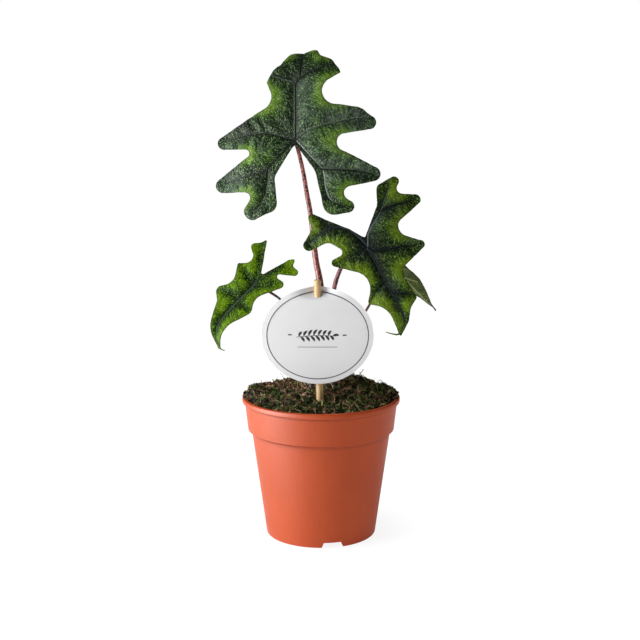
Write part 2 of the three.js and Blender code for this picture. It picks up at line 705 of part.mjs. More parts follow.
// The card stands in front of the stick, and its top edge is pushed back behind the stick above the slit.
function cardSurface(u, v) {
  const [x, y, z] = CARD.centre;
  const { below, above, offset, spread } = CARD_SLIT;
  const rise = smooth(THREE.MathUtils.clamp((v - below) / (above - below), 0, 1));
  const back = offset * rise * Math.exp(-((u / spread) ** 2));
  return new THREE.Vector3(x + u, y + back + (u * u) / (2 * CARD_BOW), z + v);
}

function cardGeometry() {
  const card = sheetGeometry({
    outline: ellipse(CARD.halfWidth, CARD.halfHeight, CARD_SIDES),
    surface: cardSurface,
    thickness: CARD.thickness,
    spacing: CARD.spacing,
  });
  return without(card, [stakeGeometry(CLEARANCE)]);
}

// ---- The object ----

const finish = (color, roughness) => new THREE.MeshStandardMaterial({ color, roughness, metalness: 0 });
const FINISHES = {
  pot: finish('#c8603a', 0.5),
  soil: finish('#2f2a1a', 1),
  wood: finish('#d9b98a', 0.7),
  card: finish('#e4e4e4', 0.6),
  stalk: finish('#8c4a50', 0.5),
  leaf: finish('#2f5a22', 0.35),
};

const group = new THREE.Group();

function addPart(name, geometry, material) {
  const mesh = new THREE.Mesh(geometry, material);
  mesh.name = name;
  group.add(mesh);
}

addPart('pot', potGeometry(), FINISHES.pot);
addPart('soil', soilGeometry(), FINISHES.soil);
addPart('stake', closed(stakeGeometry(0)), FINISHES.wood);
addPart('label', cardGeometry(), FINISHES.card);
for (const [name, { points, radii, steps }] of Object.entries(stalks)) {
  addPart(name, stemGeometry(points, radii, STEM_SIDES, steps), FINISHES.stalk);
}
addPart('leaf_top', leafTop.geometry(), FINISHES.leaf);
addPart('leaf_left', leafLeft.geometry(), FINISHES.leaf);
addPart('leaf_right', leafRight.geometry(), FINISHES.leaf);
addPart('leaf_back', leafBack.geometry(), FINISHES.leaf);

export default group;
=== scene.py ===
"""A young alocasia in a plastic nursery pot, with an oval card on a bamboo stick.

Sizes are in millimetres, and are those of the solids, until MM turns them into Blender's metres.
"""

import math

import bpy
import numpy as np
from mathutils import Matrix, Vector, noise
from mathutils.geometry import delaunay_2d_cdt


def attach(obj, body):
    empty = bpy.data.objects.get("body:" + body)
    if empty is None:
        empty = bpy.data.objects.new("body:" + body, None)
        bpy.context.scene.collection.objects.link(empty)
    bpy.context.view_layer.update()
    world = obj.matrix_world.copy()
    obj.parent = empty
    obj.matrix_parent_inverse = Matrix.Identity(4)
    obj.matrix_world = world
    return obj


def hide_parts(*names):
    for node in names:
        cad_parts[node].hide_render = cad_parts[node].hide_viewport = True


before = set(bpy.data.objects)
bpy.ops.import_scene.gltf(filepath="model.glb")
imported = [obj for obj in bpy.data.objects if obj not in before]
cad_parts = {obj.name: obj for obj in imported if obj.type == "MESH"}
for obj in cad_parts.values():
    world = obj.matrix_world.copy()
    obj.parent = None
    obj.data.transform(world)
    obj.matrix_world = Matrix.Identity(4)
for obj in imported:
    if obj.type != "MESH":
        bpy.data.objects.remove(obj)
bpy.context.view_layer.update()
MM = 0.001
FULL_TURN = 2 * math.pi
random = np.random.default_rng(20)


# ---- Camera, floor and light ----

CAMERA_PLACE = (-0.8, -900, 324)
CAMERA_TILT = 10                      # degrees below the horizon
CAMERA_LENS = 68.06
NEAREST_SEEN = 10
WORLD_LIGHT = 0.1
GLOSS = "gloss"                       # a light that shows in shiny surfaces alone
LIGHTS = [                            # name, place, aim, width and height, watts
    ("key", (-1400, -440, 800), (0, 0, 160), (1000, 1000), 34.5),
    ("fill", (1500, 300, 500), (0, 0, 150), (700, 900), 2),
    (GLOSS, (-335, -140, 60), (0, 0, 60), (300, 240), 7),
]
WHITE = (1, 1, 1, 1)
BLACK = (0, 0, 0, 1)
FLOOR_RADII = (300, 600, 900)
# The floor is seen and lights nothing; its glow is a little lower at the pot, a painted contact shadow.
# The bounce disc just under it isn't seen; it glows, less near the pot, and gives the light back.
# Each has its height, its albedo, its glow at the pot, and the distances between which that rises to 1.
DISCS = {"floor": (0, 0.1, 0.88, 30, 90), "bounce": (-0.5, 0.85, 0.42, 40, 500)}
WALL_FROM = 2200
WALL_BEND = 500
WALL_TOP = 1500
BEND_STEPS = 12
DISC_SIDES = 96


def add_camera():
    data = bpy.data.cameras.new("camera")
    data.lens = CAMERA_LENS
    data.clip_start = NEAREST_SEEN * MM
    camera = bpy.data.objects.new("camera", data)
    camera.location = Vector(CAMERA_PLACE) * MM
    camera.rotation_euler = (math.radians(90 - CAMERA_TILT), 0, 0)
    bpy.context.collection.objects.link(camera)
    bpy.context.scene.camera = camera


def add_soft_light(name, place, aim, size, power):
    data = bpy.data.lights.new(name, "AREA")
    data.shape = "RECTANGLE"
    data.size, data.size_y = size[0] * MM, size[1] * MM
    data.energy = power
    light = bpy.data.objects.new(name, data)
    light.location = Vector(place) * MM
    light.rotation_euler = (Vector(aim) - Vector(place)).to_track_quat("-Z", "Y").to_euler()
    light.visible_diffuse = name != GLOSS
    light.visible_camera = name != GLOSS
    bpy.context.collection.objects.link(light)


def add_studio():
    scene = bpy.context.scene
    scene.view_settings.view_transform = "Standard"
    world = bpy.data.worlds.new("studio")
    world.use_nodes = True
    background = world.node_tree.nodes["Background"]
    background.inputs["Color"].default_value = WHITE
    background.inputs["Strength"].default_value = WORLD_LIGHT
    scene.world = world
    for light in LIGHTS:
        add_soft_light(*light)


def add_stage():
    """A round floor and a surround that are seen but light nothing, and a disc that glows and gives light
    back.
    """
    for name, (height, albedo, close, near, far) in DISCS.items():
        shade = Shade(name)
        # For the floor, the glow that is lower next to the pot is a painted contact shadow; for the bounce
        # disc it means less fill light there.
        glow = shade.span(shade.length(shade.place()), near, far, close, 1.0)
        grey = (albedo, albedo, albedo, 1)
        material = shade.surface(grey, 0.9, Emission_Color=WHITE, Emission_Strength=glow)
        add_disc(name, [(r, height) for r in FLOOR_RADII], material, seen=name == "floor")
    shade = Shade("surround")
    material = shade.surface(BLACK, 1.0, Emission_Color=WHITE, Emission_Strength=1.0, Specular_IOR_Level=0)
    bend = [math.pi / 2 * i / BEND_STEPS for i in range(1, BEND_STEPS + 1)]
    wall = [(WALL_FROM + WALL_BEND * math.sin(a), WALL_BEND * (1 - math.cos(a))) for a in bend]
    section = [(FLOOR_RADII[-1], 0), (WALL_FROM, 0), *wall, (wall[-1][0], WALL_TOP)]
    add_disc("surround", section, material, seen=True, filled=False)


def add_disc(name, section, material, seen, filled=True):
    """A round part of the stage from a section of (radius, height): it is either seen or glows and gives
    light back.
    """
    rings = [ring_at(r, z, DISC_SIDES) for r, z in section]
    mesh = bpy.data.meshes.new(name)
    faces = [face[::-1] for face in grid_faces(len(section), DISC_SIDES)]
    if filled:
        faces.append(tuple(range(DISC_SIDES)))
    mesh.from_pydata((np.vstack(rings) * MM).tolist(), [], faces)
    mesh.polygons.foreach_set("use_smooth", [True] * len(faces))
    mesh.materials.append(material)
    disc = bpy.data.objects.new(name, mesh)
    bpy.context.collection.objects.link(disc)
    disc.visible_camera = seen
    disc.visible_diffuse = not seen
    disc.visible_glossy = not seen
    disc.visible_shadow = not seen


# ---- Materials ----

def srgb(red, green, blue):
    """A colour as seen on a screen, 0 to 255, as linear light."""
    values = []
    for value in (red, green, blue):
        share = value / 255
        values.append(share / 12.92 if share <= 0.04045 else ((share + 0.055) / 1.055) ** 2.4)
    return (*values, 1)


class Shade:
    """A procedural material, with short calls for the nodes that it is made of."""

    def __init__(self, name):
        self.material = bpy.data.materials.new(name)
        self.material.use_nodes = True
        self.nodes = self.material.node_tree.nodes
        self.links = self.material.node_tree.links
        self.principled = self.nodes["Principled BSDF"]

    def put(self, socket, value):
        if isinstance(value, bpy.types.NodeSocket):
            self.links.new(value, socket)
        else:
            socket.default_value = value

    def node(self, kind, inputs=None, **settings):
        made = self.nodes.new(kind)
        for key, value in settings.items():
            setattr(made, key, value)
        for key, value in (inputs or {}).items():
            self.put(made.inputs[key], value)
        return made

    def place(self, scale=(1, 1, 1), shift=(0, 0, 0)):
        """The surface's place in millimetres, stretched along the axes."""
        coordinates = self.node("ShaderNodeTexCoord").outputs["Object"]
        sizes = tuple(s / MM for s in scale)
        mapped = self.node("ShaderNodeMapping", {"Vector": coordinates, "Location": shift, "Scale": sizes})
        return mapped.outputs["Vector"]

    def attribute(self, name):
        return self.node("ShaderNodeAttribute", attribute_name=name).outputs["Vector"]

    def parts(self, vector):
        return self.node("ShaderNodeSeparateXYZ", {"Vector": vector}).outputs

    def stretched(self, vector, scale):
        made = self.node("ShaderNodeVectorMath", {0: vector, 1: scale}, operation="MULTIPLY")
        return made.outputs["Vector"]

    def length(self, vector):
        return self.node("ShaderNodeVectorMath", {0: vector}, operation="LENGTH").outputs["Value"]

    def noise(self, vector, scale, detail=4, roughness=0.55):
        inputs = {"Vector": vector, "Scale": scale, "Detail": detail, "Roughness": roughness}
        return self.node("ShaderNodeTexNoise", inputs).outputs["Fac"]

    def cells(self, vector):
        """The distance to the middle of the nearest of many cells of size 1."""
        return self.node("ShaderNodeTexVoronoi", {"Vector": vector, "Scale": 1}).outputs["Distance"]

    def math(self, operation, *values):
        return self.node("ShaderNodeMath", dict(enumerate(values)), operation=operation).outputs["Value"]

    def times(self, first, second):
        return self.math("MULTIPLY", first, second)

    def plus(self, first, second):
        return self.math("ADD", first, second)

    def span(self, value, low, high, to_low=0.0, to_high=1.0):
        """The value between low and high, as a smooth run from to_low to to_high."""
        return self.node("ShaderNodeMapRange", {
            "Value": value, "From Min": low, "From Max": high, "To Min": to_low, "To Max": to_high,
        }, interpolation_type="SMOOTHSTEP").outputs["Result"]

    def mix(self, share, first, second):
        made = self.node("ShaderNodeMix", data_type="RGBA")
        self.put(made.inputs[0], share)
        self.put(made.inputs[6], first)
        self.put(made.inputs[7], second)
        return made.outputs[2]

    def bump(self, height, distance, strength=1.0, after=None):
        inputs = {"Height": height, "Distance": distance * MM, "Strength": strength}
        if after:
            inputs["Normal"] = after
        return self.node("ShaderNodeBump", inputs).outputs["Normal"]

    def surface(self, base, roughness, normal=None, **others):
        self.put(self.principled.inputs["Base Color"], base)
        self.put(self.principled.inputs["Roughness"], roughness)
        if normal:
            self.put(self.principled.inputs["Normal"], normal)
        for name, value in others.items():
            self.put(self.principled.inputs[name.replace("_", " ")], value)
        return self.material


# ---- Meshes ----

def add_piece(name, vertices, faces, material, slot, replaced=None, smooth=True, attributes=None):
    """A piece of the plant: vertices in millimetres, attributes as {name: vectors, one for each vertex}."""
    mesh = bpy.data.meshes.new(name)
    faces = [list(map(int, face)) for face in faces]
    mesh.from_pydata((np.asarray(vertices, float) * MM).tolist(), [], faces)
    mesh.polygons.foreach_set("use_smooth", [smooth] * len(mesh.polygons))
    for key, values in (attributes or {}).items():
        layer = mesh.attributes.new(key, "FLOAT_VECTOR", "POINT")
        layer.data.foreach_set("vector", np.asarray(values, np.float32).ravel())
    mesh.materials.append(material)
    piece = bpy.data.objects.new(name, mesh)
    bpy.context.collection.objects.link(piece)
    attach(piece, "root")
    if replaced:
        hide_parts(replaced)
    return piece


class Heap:
    """Many small closed shapes, gathered for one mesh."""

    def __init__(self):
        self.vertices = []
        self.faces = []
        self.tints = []
        self.count = 0

    def add(self, vertices, faces, tint=BLACK[:3]):
        self.vertices.append(np.asarray(vertices, float))
        self.faces.extend([[self.count + i for i in face] for face in faces])
        self.tints.append(np.tile(np.asarray(tint, float), (len(vertices), 1)))
        self.count += len(vertices)

    def add_piece(self, name, material, slot, **options):
        vertices = np.concatenate(self.vertices)
        tints = {"tint": np.concatenate(self.tints)}
        return add_piece(name, vertices, self.faces, material, slot, attributes=tints, **options)


def smooth(share):
    share = np.clip(share, 0.0, 1.0)
    return share * share * (3 - 2 * share)


def fall(distance, width):
    """1 at no distance, and a smooth fall to nothing a few widths away."""
    return np.exp(-((distance / width) ** 2))


def mounds(points, spots):
    """The sum at points of round mounds: [u, v, spread, height] each."""
    total = np.zeros(len(points))
    for u, v, spread, height in spots:
        total += height * np.exp(-((points - (u, v)) ** 2).sum(axis=1) / spread ** 2)
    return total


def between(stations, values):
    """Smooth runs between [place, height] stations, for an array of places."""
    places, heights = np.array(stations, float).T
    values = np.asarray(values, float)
    i = np.clip(np.searchsorted(places, values, side="right") - 1, 0, len(places) - 2)
    share = (values - places[i]) / (places[i + 1] - places[i])
    return heights[i] + (heights[i + 1] - heights[i]) * smooth(share)


def noise_at(points, scale, seed=0.0):
    """Smooth noise, about -1 to 1, at points of two or three coordinates."""
    points = np.asarray(points, float) * scale
    if points.shape[1] == 2:
        points = np.column_stack([points, np.zeros(len(points))])
    return np.array([noise.noise(Vector(p)) for p in points + seed])


def unit(vector):
    vector = np.asarray(vector, float)
    return vector / np.linalg.norm(vector, axis=-1, keepdims=True)


def circle(radius, sides):
    """Points round a circle."""
    angles = FULL_TURN * np.arange(sides) / sides
    return np.column_stack([radius * np.cos(angles), radius * np.sin(angles)])


def ring_at(radius, z, sides):
    return np.column_stack([circle(radius, sides), np.full(sides, z)])


def grid_faces(rows, columns):
    """Quads of a grid whose columns close on themselves."""
    faces = []
    for low in range(0, (rows - 1) * columns, columns):
        high = low + columns
        for j in range(columns):
            after = (j + 1) % columns
            faces.append((low + j, low + after, high + after, high + j))
    return faces


def fan_faces(middle, start, sides):
    """Triangles from a middle point to a ring that starts at the point start."""
    return [(middle, start + j, start + (j + 1) % sides) for j in range(sides)]


def sheet_faces(faces, count):
    """Both sides of a sheet and its rim: each side has count points, and the second's follow the first's."""
    edges = set()
    for face in faces:
        edges.update(zip(face, (*face[1:], face[0])))
    back = [tuple(count + i for i in face[::-1]) for face in faces]
    rim = [(b, a, count + a, count + b) for a, b in edges if (b, a) not in edges]
    return [*faces, *back, *rim]


def tube(path, radii, sides):
    """A closed bar round a path of points, with a radius at each of them."""
    path = np.asarray(path, float)
    ways = unit(np.gradient(path, axis=0))
    side = unit(np.cross(ways[0], (0.31, 0.95, 0.1)))      # a direction that no path happens to start in
    rings = []
    for point, way, radius in zip(path, ways, radii):
        side = unit(side - way * (side @ way))
        rings.append(point + circle(radius, sides) @ [side, np.cross(way, side)])
    vertices = np.concatenate(rings)
    faces = grid_faces(len(path), sides)
    faces.append(list(range(sides))[::-1])
    faces.append([len(vertices) - sides + j for j in range(sides)])
    return vertices, faces


def lengths_along(line):
    """How far along a line each of its points is."""
    return np.concatenate([[0], np.cumsum(np.linalg.norm(np.diff(line, axis=0), axis=1))])


def at_lengths(line, lengths, wanted):
    """The places that lie so far along a line."""
    return np.column_stack([np.interp(wanted, lengths, values) for values in line.T])


SPLINE_STEPS = 24


def spline(points, steps):
    """A smooth curve (centripetal Catmull-Rom) through points, as steps + 1 places spaced evenly along it."""
    points = np.asarray(points, float)
    points = np.vstack([2 * points[0] - points[1], points, 2 * points[-1] - points[-2]])
    fine = []
    for a, b, c, d in zip(points, points[1:], points[2:], points[3:]):
        gaps = [math.sqrt(np.linalg.norm(q - p)) for p, q in ((a, b), (b, c), (c, d))]
        k0, k1, k2, k3 = np.cumsum([0] + gaps)
        for t in np.linspace(k1, k2, SPLINE_STEPS, endpoint=False):
            ab = a + (b - a) * (t - k0) / (k1 - k0)
            bc = b + (c - b) * (t - k1) / (k2 - k1)
            cd = c + (d - c) * (t - k2) / (k3 - k2)
            abc = ab + (bc - ab) * (t - k0) / (k2 - k0)
            bcd = bc + (cd - bc) * (t - k1) / (k3 - k1)
            fine.append(abc + (bcd - abc) * (t - k1) / (k2 - k1))
    fine = np.array(fine + [points[-2]])
    lengths = lengths_along(fine)
    return at_lengths(fine, lengths, np.linspace(0, lengths[-1], steps + 1))


# ---- Outlines: a belt round circles ----
# Each circle is [u, v, r]. The belt goes round them counter-clockwise, outside a lobe (r > 0) and inside a
# bay (r < 0), with a straight run along the common tangent between two neighbours.

ARC_STEP = math.radians(7)
MOST_TURN = math.radians(330)         # an arc past this is a belt that only brushes the circle


def tangent_angle(first, second):
    along = np.subtract(second[:2], first[:2])
    square = along @ along
    difference = first[2] - second[2]
    across = np.array([along[1], -along[0]]) * math.sqrt(square - difference * difference)
    normal = along * difference + across
    return math.atan2(normal[1], normal[0])


def belt(circles):
    points = []
    for i, (u, v, r) in enumerate(circles):
        start = tangent_angle(circles[i - 1], circles[i])
        end = tangent_angle(circles[i], circles[(i + 1) % len(circles)])
        way = math.copysign(1, r)
        turn = (way * (end - start)) % FULL_TURN
        if turn > MOST_TURN:
            turn = 0
        steps = max(1, math.ceil(turn / ARC_STEP))
        for k in range(steps + 1):
            angle = start + way * turn * k / steps
            points.append((u + r * math.cos(angle), v + r * math.sin(angle)))
    return np.array(points)


def respaced(ring, spacing):
    """The same closed line with points at even distances."""
    closed = np.vstack([ring, ring[:1]])
    lengths = lengths_along(closed)
    wanted = np.linspace(0, lengths[-1], int(lengths[-1] / spacing), endpoint=False)
    return at_lengths(closed, lengths, wanted)


def is_inside(ring, points):
    inside = np.zeros(len(points), bool)
    x, y = points.T
    for (ax, ay), (bx, by) in zip(ring, np.roll(ring, 1, axis=0)):
        crosses = (ay > y) != (by > y)
        if ay != by:
            inside ^= crosses & (x < (bx - ax) * (y - ay) / (by - ay) + ax)
    return inside


def segment_distance(points, start, end):
    """Each point's distance to a segment, its share along it, and on which side it lies."""
    way = end - start
    share = np.clip(((points - start) @ way) / (way @ way), 0, 1)
    offset = points - start - share[:, None] * way
    side = np.sign(way[0] * offset[:, 1] - way[1] * offset[:, 0])
    return np.hypot(*offset.T), share, side


def ring_distance(ring, points):
    least = np.full(len(points), np.inf)
    for start, end in zip(ring, np.roll(ring, -1, axis=0)):
        least = np.minimum(least, segment_distance(points, start, end)[0])
    return least


# ---- Leaf blades ----
# A leaf has its own plane at the junction, where the stalk joins: u runs across, v runs to the tip, w is
# out of the upper face. The blade bends back along v, arches across u, is lifted or dropped round a few
# spots, and is puffed up between its sunken veins.

SPINE_START = -90
SPINE_STEP = 0.5
SPINE_COUNT = 460
UPPER_HALF = 0.3                      # middle of the sheet to its faces
LOWER_HALF = 0.25
RIM_HALF = 0.12
RIM_TAPER = 2.2                       # how far in the sheet gets its full thickness
RIM_SPACING = 0.65
NORMAL_STEP = 0.4
VEIN_ROWS = (-1.1, -0.7, -0.35, 0, 0.35, 0.7, 1.1)     # rows of points along a vein, and beside it
VEIN_SPACING = 0.7
VEIN_CELL = 0.3                       # one point of these rows is kept in each cell
VEIN_TO_RIM = 0.35
VEIN_CLEAR = 1.4                      # the other points stay this far from the veins
POINT_SHIFT = 0.08
CDT_INSIDE = 1                        # mathutils: keep the triangles inside the outline
CDT_MERGE = 1e-5
TAIL_RADII = (0.8, 0.65, 0.5, 0.42, 0.3)     # the fine hair at a leaf's tip
TAIL_SIDES = 8
TAIL_LIME = 0.8
# Heights of the fine relief.
CELLS_HIGH, BLISTER_HIGH, WAVE_HIGH = 0.16, 0.1, 0.35
GROOVE_DEEP, CREST_HIGH, RIDGE_DEEP = 0.45, 0.45, 0.75
GROOVE_WIDTH, CREST_WIDTH, RIDGE_WIDTH = 0.75, 0.4, 0.8
FOLD_END, FOLD_RUN = 62, 20           # up to where along v the fold reaches
RIB_HIGHLIGHT_WIDTH = 0.45
RIM_WIDTH = 0.5                       # of the darker line along the rim
NET_SHIFT = 3.1                       # from vein to vein, so that no two nets look alike


def off_veins(distance, start, run, edge, rim):
    """0 at the veins and at the rim, 1 well away from both."""
    return smooth((distance - start) / run) * smooth(edge / rim)


class Leaf:
    """veins: [line, rib, dark, lean] each, where rib and dark say how strongly its pale rib, a highlight
    painted along its raised crest, and its dark border show, and lean how far the fine streaks beside it run
    on towards its tip.
    """

    spacing = 0.7                     # of the points between the veins
    fold = 0.0                        # how high the blade stands beside its midrib
    quilt = 0.3                       # height of the swellings between the veins
    pitch = 9.0                       # of those swellings
    quilt_spots = ()                  # [u, v, spread, more height] where they are stronger
    bay_lime = 0.5                    # how lime it is in the bays, and how far that reaches
    bay_reach = 6.5
    far_lime = 0.3                    # how lime it is far from the veins, and over what distance that rises
    lime_reach = 7.0
    lime = ()                         # [u, v, spread, amount] where it is more lime; a negative one darkens a lobe the light falls on, painted shade
    painted_sheen = ()                        # the same for a painted greyish sheen; negative ones darken, painted shade
    vein_width = (0.7, 0.4)           # of the dark line, at the vein's start and end
    halo = (3.0, 0.5)                 # width and strength of the darker zone beside a vein
    heart = (6.0, 0.5)                # the same round the junction
    rib_shift = 0.0                   # of the pale rib, a painted highlight on the raised crest, sideways from the vein
    tip_fade = 0.0                    # how much the halo fades towards a vein's end
    tail = ()                         # the line of the hair at the tip

    def __init__(self, name, junction, tip_way, face_way, bend, arch, lifts, puff, vein_reach, outline, veins,
                 **looks):
        self.name = name
        self.origin = np.array(junction, float)
        self.along = unit(tip_way)
        face = np.array(face_way, float)
        self.out = unit(face - self.along * (face @ self.along))
        self.across = np.cross(self.along, self.out)
        self.arch, self.lifts, self.puff, self.vein_reach = arch, lifts, puff, vein_reach
        self.circles = outline
        self.veins = [np.array(line, float) for line, *_ in veins]
        self.ribs, self.darks, self.leans = np.array([rest for _, *rest in veins], float).T
        for key, value in looks.items():
            setattr(self, key, value)
        self.make_spine(bend)

    def make_spine(self, bend):
        places = SPINE_START + SPINE_STEP * np.arange(SPINE_COUNT + 1)
        angles = np.radians(between(bend, places))
        along = np.concatenate([[0], np.cumsum(np.cos(angles) * SPINE_STEP)[:-1]])
        out = np.concatenate([[0], np.cumsum(-np.sin(angles) * SPINE_STEP)[:-1]])
        zero = int(-SPINE_START / SPINE_STEP)
        self.spine = (places, along - along[zero], out - out[zero], angles)

    def nearest_vein(self, points, veins=None):
        """For each point: distance to the nearest vein, place along it, side of it, share of it, its number,
        and how far past its end the point is.
        """
        count = len(points)
        least, place, side, share, number, past = np.full(count, np.inf), *np.zeros((5, count))
        for index, line in enumerate(veins or self.veins):
            lengths = np.linalg.norm(np.diff(line, axis=0), axis=1)
            run = 0.0
            beyond = np.maximum((points - line[-1]) @ unit(line[-1] - line[-2]), 0)
            for start, end, length in zip(line, line[1:], lengths):
                distance, t, way = segment_distance(points, start, end)
                nearer = distance < least
                past = np.where(nearer, np.where(t == 1, beyond, 0), past)
                least = np.where(nearer, distance, least)
                place = np.where(nearer, run + t * length, place)
                side = np.where(nearer, way, side)
                share = np.where(nearer, (run + t * length) / lengths.sum(), share)
                number = np.where(nearer, index, number)
                run += length
        return least, place, side, share, number.astype(int), past

    def surface(self, points, height=0.0):
        """Places on the blade's smooth middle sheet, with the height of finer relief added along w."""
        u, v = points.T
        relief = self.arch * u * u / 1000 + height + mounds(points, self.lifts)
        relief = relief + self.puff * (1 - fall(self.nearest_vein(points)[0], self.vein_reach))
        places, along, out, angles = self.spine
        a, o, angle = (np.interp(v, places, values) for values in (along, out, angles))
        return (self.origin + u[:, None] * self.across
                + (a + relief * np.sin(angle))[:, None] * self.along
                + (o + relief * np.cos(angle))[:, None] * self.out)

    def normals(self, points):
        across, along = (self.surface(points + step) - self.surface(points - step)
                         for step in ((NORMAL_STEP, 0), (0, NORMAL_STEP)))
        return unit(np.cross(across, along))

    def behind(self, distance):
        """A point on the stalk's side of the junction."""
        return self.origin - distance * self.out

    def vein_rows(self, ring):
        """Rows of points along the veins, close together where the veins' grooves are."""
        rows = []
        for line in self.veins:
            for start, end in zip(line, line[1:]):
                length = np.linalg.norm(end - start)
                way = (end - start) / length
                normal = np.array([-way[1], way[0]])
                share = np.linspace(0, 1, max(1, int(length / VEIN_SPACING)) + 1)
                for offset in VEIN_ROWS:
                    rows.append(start + offset * normal + share[:, None] * (end - start))
        points = np.concatenate(rows)
        _, first = np.unique(np.round(points / VEIN_CELL).astype(int), axis=0, return_index=True)
        points = points[np.sort(first)]
        return points[is_inside(ring, points) & (ring_distance(ring, points) > VEIN_TO_RIM)]

    def inner_points(self, ring):
        """Points in rows with every other row shifted, each pushed about a little."""
        low, high = ring.min(axis=0), ring.max(axis=0)
        rows = np.arange(low[1], high[1], self.spacing * math.sqrt(0.75))
        grid = [(low[0] + (k + (i % 2) / 2) * self.spacing, y) for i, y in enumerate(rows)
                for k in range(int((high[0] - low[0]) / self.spacing) + 1)]
        grid = np.array(grid) + random.uniform(-POINT_SHIFT, POINT_SHIFT, (len(grid), 2))
        grid = grid[is_inside(ring, grid)]
        grid = grid[ring_distance(ring, grid) > 0.5 * self.spacing]
        return grid[self.nearest_vein(grid)[0] > VEIN_CLEAR]

    def quilting(self, points, distance, place, side):
        """Where a point lies between two creases that run out from the veins, and how strong they are."""
        phase = (place - 0.45 * distance) / self.pitch + 0.35 * noise_at(points, 0.11, 3.7) + 0.25 * side
        strength = self.quilt * (0.8 + 0.6 * noise_at(points, 0.07, 9.1)) + mounds(points, self.quilt_spots)
        return phase, strength

    def relief(self, points, edge):
        """Fine relief of the upper and the lower face."""
        distance, place, side, share, number, past = self.nearest_vein(points)
        place = place + past
        rib, dark = self.ribs[number], self.darks[number]
        phase, strength = self.quilting(points, distance, place, side)
        swell = np.abs(np.sin(math.pi * phase)) ** 0.8 - 0.5
        quilt = strength * swell * off_veins(distance, 0.5, 4, edge, 3)
        cells = np.sin(FULL_TURN * (place - 0.3 * distance) / 3.1 + 3 * noise_at(points, 0.2, 6.1))
        cells = CELLS_HIGH * self.quilt * cells * off_veins(distance, 0.8, 2, edge, 2)
        blisters = BLISTER_HIGH * noise_at(points, 0.7, 1.3) * off_veins(distance, 0.6, 1.5, edge, 1.5)
        wave = WAVE_HIGH * noise_at(points, 0.16, 5.5) * np.exp(-edge / 3.5)
        to_midrib = self.nearest_vein(points, self.veins[:1])[0]
        valley = self.fold * (1 - np.exp(-to_midrib / 6)) * smooth((FOLD_END - points[:, 1]) / FOLD_RUN)
        thin = 1 - 0.6 * share
        level = 1 - mounds(points, [(0, 0, 3, 1)])          # the veins are flush at the junction
        groove = GROOVE_DEEP * thin * level * np.maximum(dark, rib) * fall(distance, GROOVE_WIDTH)
        crest = CREST_HIGH * thin * rib * fall(side * distance - self.rib_shift, CREST_WIDTH)
        ridge = RIDGE_DEEP * thin * fall(distance, RIDGE_WIDTH * thin)
        broad = quilt + valley
        upper = broad + cells + blisters + wave - groove + crest
        lower = 0.9 * broad + 0.6 * (cells + blisters) + wave - ridge
        return upper, lower

    def colour_marks(self, points, edge):
        """Vectors for the shader: dark with some painted shade, lime and rim; ribs and sheen, both painted
        highlights; and the place in the net.
        """
        distance, place, side, share, number, past = self.nearest_vein(points)
        beside = np.sqrt(np.maximum(distance ** 2 - past ** 2, 0))
        wide, narrow = self.vein_width
        line = fall(distance, wide + (narrow - wide) * share)
        halo_width, halo_strength = self.halo
        fade = 1 - 0.85 * smooth((share - 0.7) / 0.3) * self.tip_fade
        halo = halo_strength * fade * fall(distance, halo_width * (1 - 0.7 * share))
        heart = mounds(points, [(0, 0, *self.heart)])
        phase, strength = self.quilting(points, distance, place + past, side)
        # Painted shade on one flank of each crease, and a painted sheen (shine) on the other.
        flank = strength * np.sin(FULL_TURN * phase) * off_veins(distance, 0.5, 3, edge, 3)
        painted_crease_shade = np.clip(0.45 * flank, 0, 0.6)
        shine = np.clip(-0.5 * flank, 0, 0.7)
        power = self.darks[number]
        dark = 1 - (1 - power * line) * (1 - power * halo) * (1 - heart) * (1 - painted_crease_shade)
        lime = self.far_lime * smooth((distance - 0.2 * self.lime_reach) / self.lime_reach)
        lime += mounds(points, self.lime)
        for u, v, r in self.circles:
            is_sinus = abs(u) < 8 and v < 0                 # the bay between the two back lobes
            if r < -2 and not is_sinus:
                gap = np.hypot(*(points - (u, v)).T) + r
                lime += self.bay_lime * fall(np.maximum(gap, 0), self.bay_reach)
        # The pale rib: a painted highlight along the raised crest beside the vein.
        rib = fall(side * distance - self.rib_shift, RIB_HIGHLIGHT_WIDTH)
        rib *= self.ribs[number] * (1 - 0.6 * share ** 2)
        # Painted sheen, from the spots and from the lit flanks of the creases; negative spots paint shade.
        painted_sheen = np.clip(mounds(points, self.painted_sheen) + shine, -0.7, 1)
        zones = np.column_stack([dark, np.clip(lime, 0, 1.2), fall(edge, RIM_WIDTH)])
        marks = np.column_stack([rib, painted_sheen, np.zeros(len(points))])
        net = np.column_stack([place + past - self.leans[number] * beside, side * beside, NET_SHIFT * number])
        return zones, marks, net

